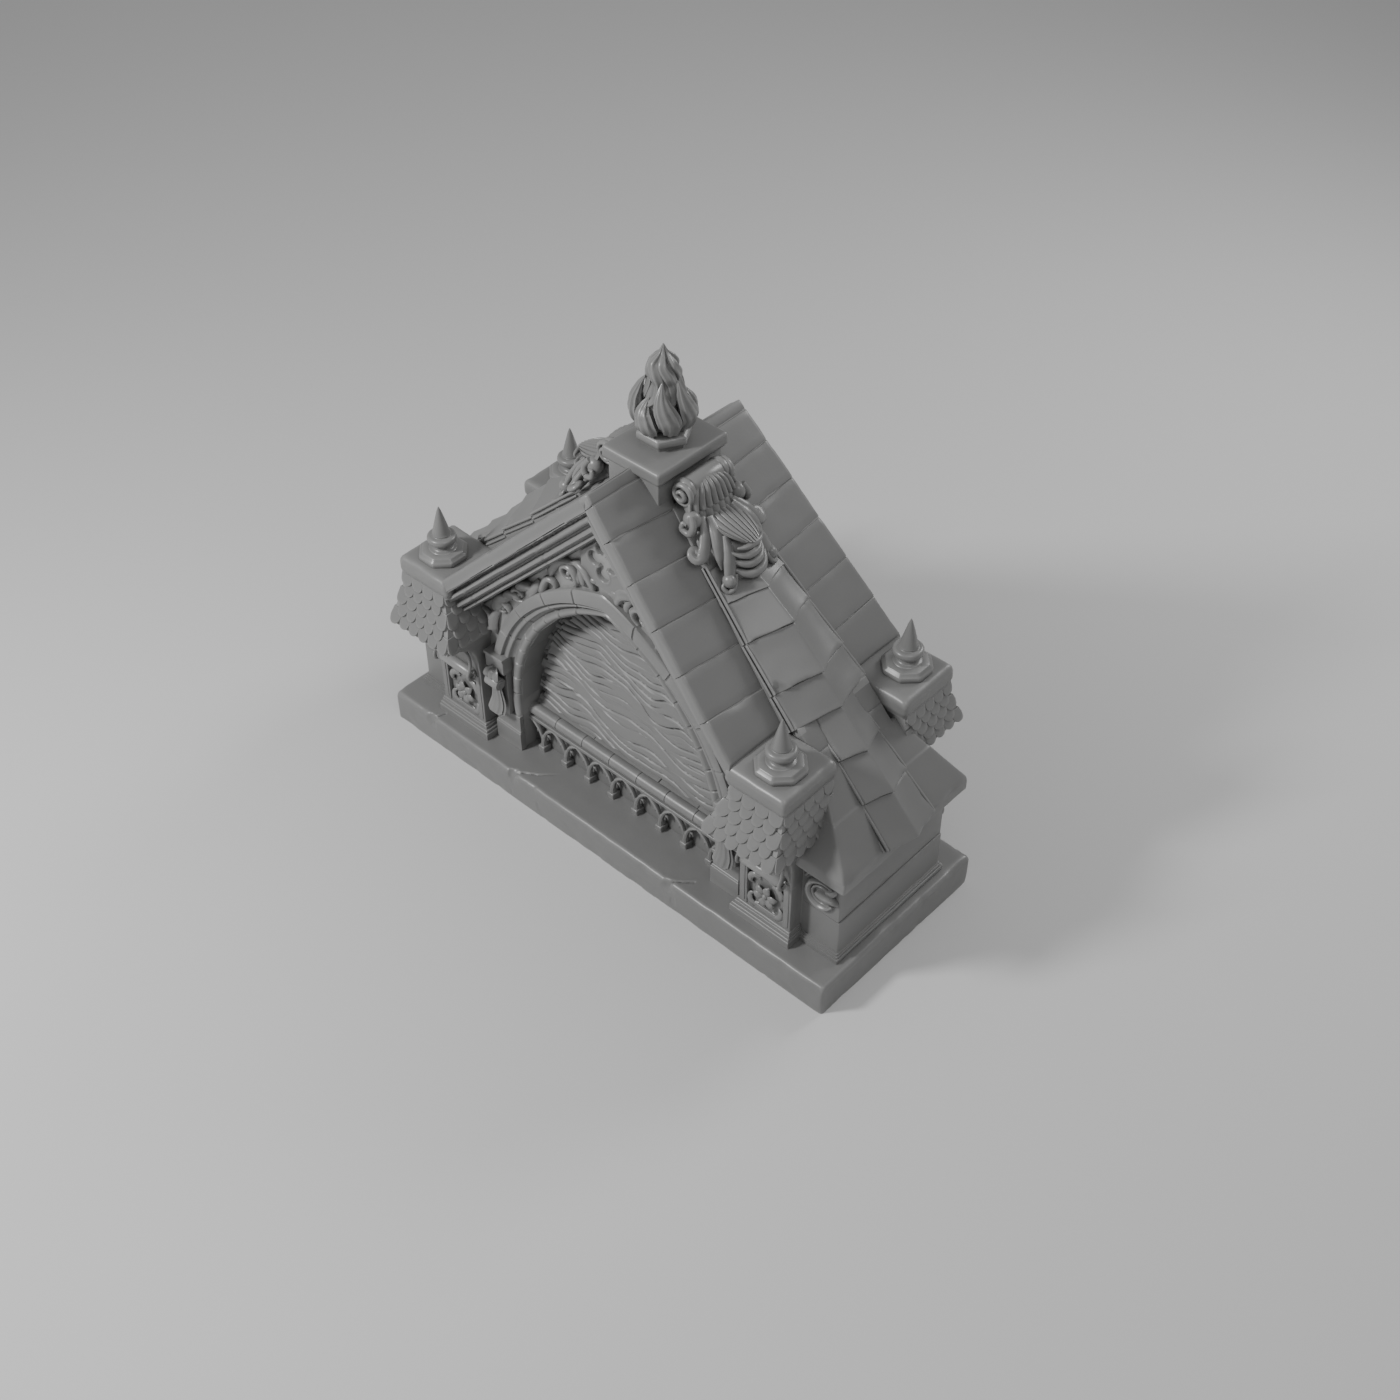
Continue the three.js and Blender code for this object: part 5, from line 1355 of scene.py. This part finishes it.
def quatrefoilPlate(wall):
    half, foot, high, top = [spandrel[key] for key in ("plateHalf", "plateFoot", "plateHigh", "plateTop")]
    cell = spandrel["cell"]
    x, z = np.meshgrid(np.arange(-half, half + cell, cell), np.arange(foot, foot + high, cell), indexing="ij")
    qx, qz = spandrel["quatrefoil"]
    away = np.hypot(x - qx, z - qz) - spandrel["heart"]
    for k in range(4):
        a = k * math.pi / 2
        cx, cz = qx + math.cos(a) * spandrel["reach"][0], qz + math.sin(a) * spandrel["reach"][1]
        away = np.minimum(away, np.hypot(x - cx, z - cz) - spandrel["lobe"])
    edge = np.minimum.reduce([half - np.abs(x), z - foot - 0.002, (top - z - np.abs(x)) / root2])
    height = (spandrel["boss"] - spandrel["wall"]) * smooth(edge, 0, 0.006)
    height = height - spandrel["pocket"] * smooth(away, 0.003, -0.005)
    rim = 0.0025 * np.exp(-((away - 0.010) / 0.005) ** 2)
    z = np.minimum(z, top - 0.007 - np.abs(x))
    return sheetGrid(np.stack([x, wall - np.maximum(height + rim, -0.008), z], -1), np.array([0, 0.012, 0]))


def makeSpandrel(sideName, signY):
    wall = -spandrel["wall"]
    parts = [spandrelField(wall), quatrefoilPlate(wall)]
    curls = spandrel["curls"] if sideName == "front" else spandrel["curls"][::2]
    for sx in (-1, 1):
        for width, height, swell, flutes, line in curls:
            shape = [0.35, 0.9, 1, 0.9, 0.45] if flutes else [0.55, 1, 0.95, 0.8, 0.6, 0.42]
            line = onFace(np.array(line, float) * (sx, 1), wall - 0.002, swell)
            parts.append(strand(line, width, height, faceOut, 34, 12, flutes, 0.16, shape))
        for x, z in spandrel["eyes"]:
            parts.append(ball((sx * x, wall - 0.006, z), (0.014, 0.016, 0.014), 7, 10))
    addPiece(f"spandrel_{sideName}_carving", parts, f"spandrel_{sideName}", carvedStone, (1, signY), sharp=60)


for sideName, signY in sides:
    for endName, signX in ends:
        makeJamb(f"{sideName}_{endName}", (signX, signY), 151 + 3 * signX + 5 * signY)
    makeSpandrel(sideName, signY)
print("jambs and spandrels made")

# acanthus bracket on the slope: roll with volutes, fluted shell, leaves that end in curls
# lines and sheets are slope, across and height; the core is slope, half width, low and high
acanthus = {
    "roll": (0.212, 0.105, 0.055),
    "rollEnds": [(-0.132, 0.030), (-0.130, 0.046), (-0.122, 0.056), (-0.100, 0.058), (-0.093, 0.051),
                 (-0.088, 0.054)],
    "tongue": [(0.340, 0.084, 0.090), (0.400, 0.092, 0.124), (0.460, 0.088, 0.154), (0.520, 0.070, 0.182),
               (0.562, 0.050, 0.196)],
    "lip": [(0.290, 0.110, 0.116), (0.336, 0.128, 0.116), (0.366, 0.136, 0.104), (0.382, 0.136, 0.090)],
    "shell": [(0.196, 0.084, 0.150), (0.230, 0.108, 0.162), (0.264, 0.132, 0.160), (0.296, 0.150, 0.142),
              (0.318, 0.158, 0.124)],
    # each bow: slope, half width, height, thickness and droop
    "bows": [(0.566, 0.080, 0.186, 0.030, 0.020), (0.604, 0.096, 0.146, 0.034, 0.060),
             (0.640, 0.104, 0.124, 0.040, 0.076), (0.684, 0.112, 0.104, 0.044, 0.090)],
    "bowProfile": [0.3, 0.75, 0.95, 1, 0.95, 0.75, 0.3],
    "balls": [(0.338, 0.146, 0.084, 0.044), (0.652, 0.138, 0.072, 0.034)],
    "core": [(0.240, 0.088, 0.050, 0.090), (0.330, 0.104, 0.060, 0.094), (0.400, 0.092, 0.050, 0.100),
             (0.480, 0.096, 0.060, 0.128), (0.550, 0.104, 0.064, 0.140), (0.610, 0.108, 0.060, 0.110),
             (0.664, 0.090, 0.050, 0.086), (0.694, 0.050, 0.040, 0.062)],
    # each leaf: width, height, flutes, profile and its line for one side
    "leaves": [
        (0.058, 0.044, 2, [0.5, 0.9, 0.95, 0.85, 0.8, 0.75, 0.6],
         [(0.352, 0.098, 0.094), (0.412, 0.128, 0.096), (0.462, 0.156, 0.082), (0.496, 0.184, 0.066),
          (0.496, 0.212, 0.052), (0.468, 0.216, 0.044), (0.458, 0.198, 0.048), (0.472, 0.188, 0.056)]),
        (0.064, 0.044, 2, [0.5, 0.9, 1.0, 0.8, 0.2],
         [(0.366, 0.074, 0.108), (0.450, 0.098, 0.116), (0.530, 0.120, 0.096), (0.594, 0.132, 0.062)]),
        (0.058, 0.044, 2, [0.4, 0.8, 1.0, 0.9, 0.7],
         [(0.470, 0.076, 0.136), (0.548, 0.096, 0.120), (0.610, 0.118, 0.094), (0.650, 0.138, 0.074)]),
        (0.046, 0.034, 2, [0.5, 1.0, 0.8, 0.2],
         [(0.384, 0.116, 0.062), (0.440, 0.140, 0.052), (0.500, 0.150, 0.040), (0.548, 0.150, 0.024)]),
        (0.034, 0.034, 0, [0.9, 1.0, 0.8, 0.5],
         [(0.322, 0.166, 0.118), (0.368, 0.180, 0.104), (0.384, 0.186, 0.066), (0.350, 0.190, 0.046),
          (0.330, 0.186, 0.066), (0.344, 0.182, 0.080)]),
        (0.026, 0.030, 0, [0.8, 1.0, 0.8, 0.4],
         [(0.640, 0.100, 0.090), (0.688, 0.126, 0.066), (0.694, 0.156, 0.048), (0.664, 0.170, 0.050),
          (0.646, 0.158, 0.060)]),
    ],
    # each draped sheet: flutes, depth of folds, scallop, thickness and lean
    "sheets": [("tongue", 7, (0.010, 0.012), 0.0, 0.022, 0.034),
               ("lip", 7, (0.004, 0.014), 0.014, 0.018, 0.016),
               ("shell", 9, (0.003, 0.015), 0.018, 0.018, 0.016)],
}


def foldedSheet(rows, flutes, folds, scallop, thick, lean):
    # a draped leaf: flutes that deepen towards its scalloped lower edge
    t = np.linspace(-1, 1, flutes * 8 + 1)
    fine = curveThrough(rows, 20)
    wave = np.abs(np.cos((t + 1 / flutes) * flutes * np.pi / 2)) ** 0.7
    grid = []
    for k, (s, half, n) in enumerate(fine):
        share = k / (len(fine) - 1)
        fold = folds[0] + (folds[1] - folds[0]) * share
        reach = scallop * wave * smooth(share, 0.6, 1.0) - lean * t ** 2 * share
        grid.append(onSlope(s + reach, t * half, n + fold * wave - half * 0.24 * t ** 2))
    return sheetGrid(grid, -thick * np.array([1, 0, 1]) / root2)


def makeAcanthus(endName, signX):
    up = np.array([1, 0, 1]) / root2
    rollS, rollN, rollR = acanthus["roll"]
    angle = circle(32)
    section = acanthus["rollEnds"] + [(-y, r) for y, r in acanthus["rollEnds"][::-1]]
    c, s = np.cos(angle), np.sin(angle)
    parts = [loftRings([onSlope(rollS + r * c, y, rollN + r * s) for y, r in section])]
    for side in (-1, 1):
        t = np.linspace(0, 1, 30)
        turn = -1.7 + 1.8 * 2 * np.pi * t
        r = (rollR + 0.008) * (1 - 0.78 * t)
        out = side * (0.126 + 0.026 * t)
        volute = onSlope(rollS + 0.006 + r * np.cos(turn), out, rollN + r * np.sin(turn))
        parts.append(strand(volute, 0.024, 0.030, (0, 1, 0), 64, 10, profile=[0.7, 1, 1, 0.9, 0.7]))
        for s, y, n, size in acanthus["balls"]:
            parts.append(ball(onSlope(s, side * y, n), (size, size * 0.86, size), 13, 18))
        for width, height, flutes, profile, line in acanthus["leaves"]:
            line = onSlope(*(np.array(line) * (1, side, 1)).T)
            parts.append(strand(line, width, height, up, 44, 14, flutes, 0.15, profile))
    rings = []
    for s, half, low, high in acanthus["core"]:
        side, crown = low + (high - low) * 0.6, high * 0.96
        y = half * np.array([-1, -0.85, -0.45, 0, 0.45, 0.85, 1, 1, -1])
        rings.append(onSlope(s, y, np.array([low, side, crown, high, crown, side, low, -0.004, -0.004])))
    parts.append(loftRings(rings))
    for name, *more in acanthus["sheets"]:
        parts.append(foldedSheet(acanthus[name], *more))
    t = np.linspace(-1, 1, 13)
    for s, half, n, thick, droop in acanthus["bows"]:
        bow = onSlope(s - droop * np.abs(t) ** 2.4, t * half, n - 0.016 * t ** 2)
        parts.append(strand(bow, thick, thick * 0.95, up, 44, 14, profile=acanthus["bowProfile"]))
    addPiece(f"acanthus_{endName}_carving", parts, f"acanthus_{endName}", carvedStone, (signX, 1), sharp=65)


for endName, signX in ends:
    makeAcanthus(endName, signX)
print("acanthus brackets made")

# cap stone on the ridge, on its block
topCap = {
    "x": 0.175, "y": 0.226, "bottom": 2.187, "top": 2.258, "edge": 0.018, "block": (0.152, 0.204, 1.985),
}


def makeTopCap():
    x, y, bottom, top = [topCap[key] for key in ("x", "y", "bottom", "top")]

    def place(p):
        under = 1 - 0.05 * smooth(-p[:, 2], 0.056, 0.071)
        return np.stack([(p[:, 0] - x) * under, (p[:, 1] - y) * under, top + p[:, 2]], -1)
    plate = block(place, (2 * x, 2 * y), top - bottom, topCap["edge"], cell=0.03, corner=0.014, wallRows=9,
                  wear=0.0010, chip=0.004, seed=181, foot=1)
    bx, by, low = topCap["block"]
    body = boxStone((-bx, -by, low), (bx, by, bottom + 0.002), cell=0.05, corner=0.006, seed=182, wear=0.0012)
    addPiece("topCap_stone", [plate, body], "top_cap", stone)


# flame: fluted tongues below and wisps above round a wavy core, on a six-sided plinth
flame = {
    "foot": 2.2584, "tongues": 7, "short": 0.206, "tall": 0.288, "wisps": 6, "leans": (-0.30, 0.42, -0.15),
    "tongueWidth": 0.096, "tongueDepth": 0.066,
    "tongueRadius": ([0, 0.15, 0.35, 0.6, 0.85, 1], [0.056, 0.100, 0.124, 0.120, 0.100, 0.080]),
    # heights, radii and turns of a wisp
    "wisp": [(0.185, 0.200, 0.240, 0.300, 0.350, 0.395, 0.440, 0.4830),
             (0.112, 0.104, 0.078, 0.056, 0.054, 0.046, 0.016, 0.001),
             (-0.60, -0.30, 0.30, 0.42, 0.10, -0.34, -0.30, 0)],
    # radii and heights
    "core": [(0.066, 0.062), (0.10, 0.092), (0.18, 0.100), (0.26, 0.074), (0.31, 0.056), (0.36, 0.058),
             (0.40, 0.042), (0.44, 0.017), (0.4836, 0.001)],
    "tiers": [(0.108, -0.003), (0.112, 0.002), (0.112, 0.018), (0.116, 0.022), (0.127, 0.025), (0.131, 0.030),
              (0.131, 0.054), (0.128, 0.060), (0.112, 0.068), (0.096, 0.074), (0.05, 0.076)],
}


def polar(angle, radius, z):
    return np.stack([np.cos(angle) * radius, np.sin(angle) * radius, flame["foot"] + z], -1)


def flameTongue(angle, lean, tall):
    # a fluted drop that swells over the plinth and closes to a point
    t = np.linspace(0, 1, 9)
    wind = angle + lean * (t - 0.35) + 0.10 * np.sin(t * 2 * np.pi)
    line = polar(wind, np.interp(t, *flame["tongueRadius"]), 0.062 + (tall - 0.016) * t)
    out = (math.cos(angle), math.sin(angle), 0.0)
    return strand(line, flame["tongueWidth"], flame["tongueDepth"], out, 36, 32, flutes=8, fluteDepth=0.115,
                  profile=[0.30, 0.80, 1.0, 1.0, 0.90, 0.66, 0.36, 0.08])


def flameWisp(angle):
    # an S-shaped lick that curls out below and joins the tip above
    heights, radii, turns = np.array(flame["wisp"])
    out = (math.cos(angle), math.sin(angle), 0.2)
    return strand(polar(angle + turns, radii, heights), 0.046, 0.042, out, 48, 20, flutes=5, fluteDepth=0.16,
                  profile=[0.25, 0.6, 0.9, 1.0, 1.15, 1.0, 0.42, 0.08])


def makeFlame():
    parts = [loftRings([octagon(r, flame["foot"] + z, 6, (0, 0), 0.008, 0) for r, z in flame["tiers"]])]
    for k in range(flame["tongues"]):
        angle = k * 2 * math.pi / flame["tongues"] + 0.2
        parts.append(flameTongue(angle, flame["leans"][k % 3], flame["short"] if k % 2 else flame["tall"]))
    for k in range(flame["wisps"]):
        parts.append(flameWisp(k * 2 * math.pi / flame["wisps"] + 0.5))
    around = circle(48)
    core = []
    for z in np.linspace(0.055, 0.4836, 40):
        wave = 1 + 0.10 * np.cos(5 * around + 12 * z)
        core.append(polar(around, np.interp(z, *np.array(flame["core"]).T) * wave, z + 0 * around))
    parts.append(loftRings(core))
    addPiece("flame_carving", parts, "flame_finial", carvedStone, sharp=70)


makeTopCap()
makeFlame()
print("cap stone and flame made")

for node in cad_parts.values():
    if not node.hide_render:
        node.data.materials.clear()
        node.data.materials.append(stone)
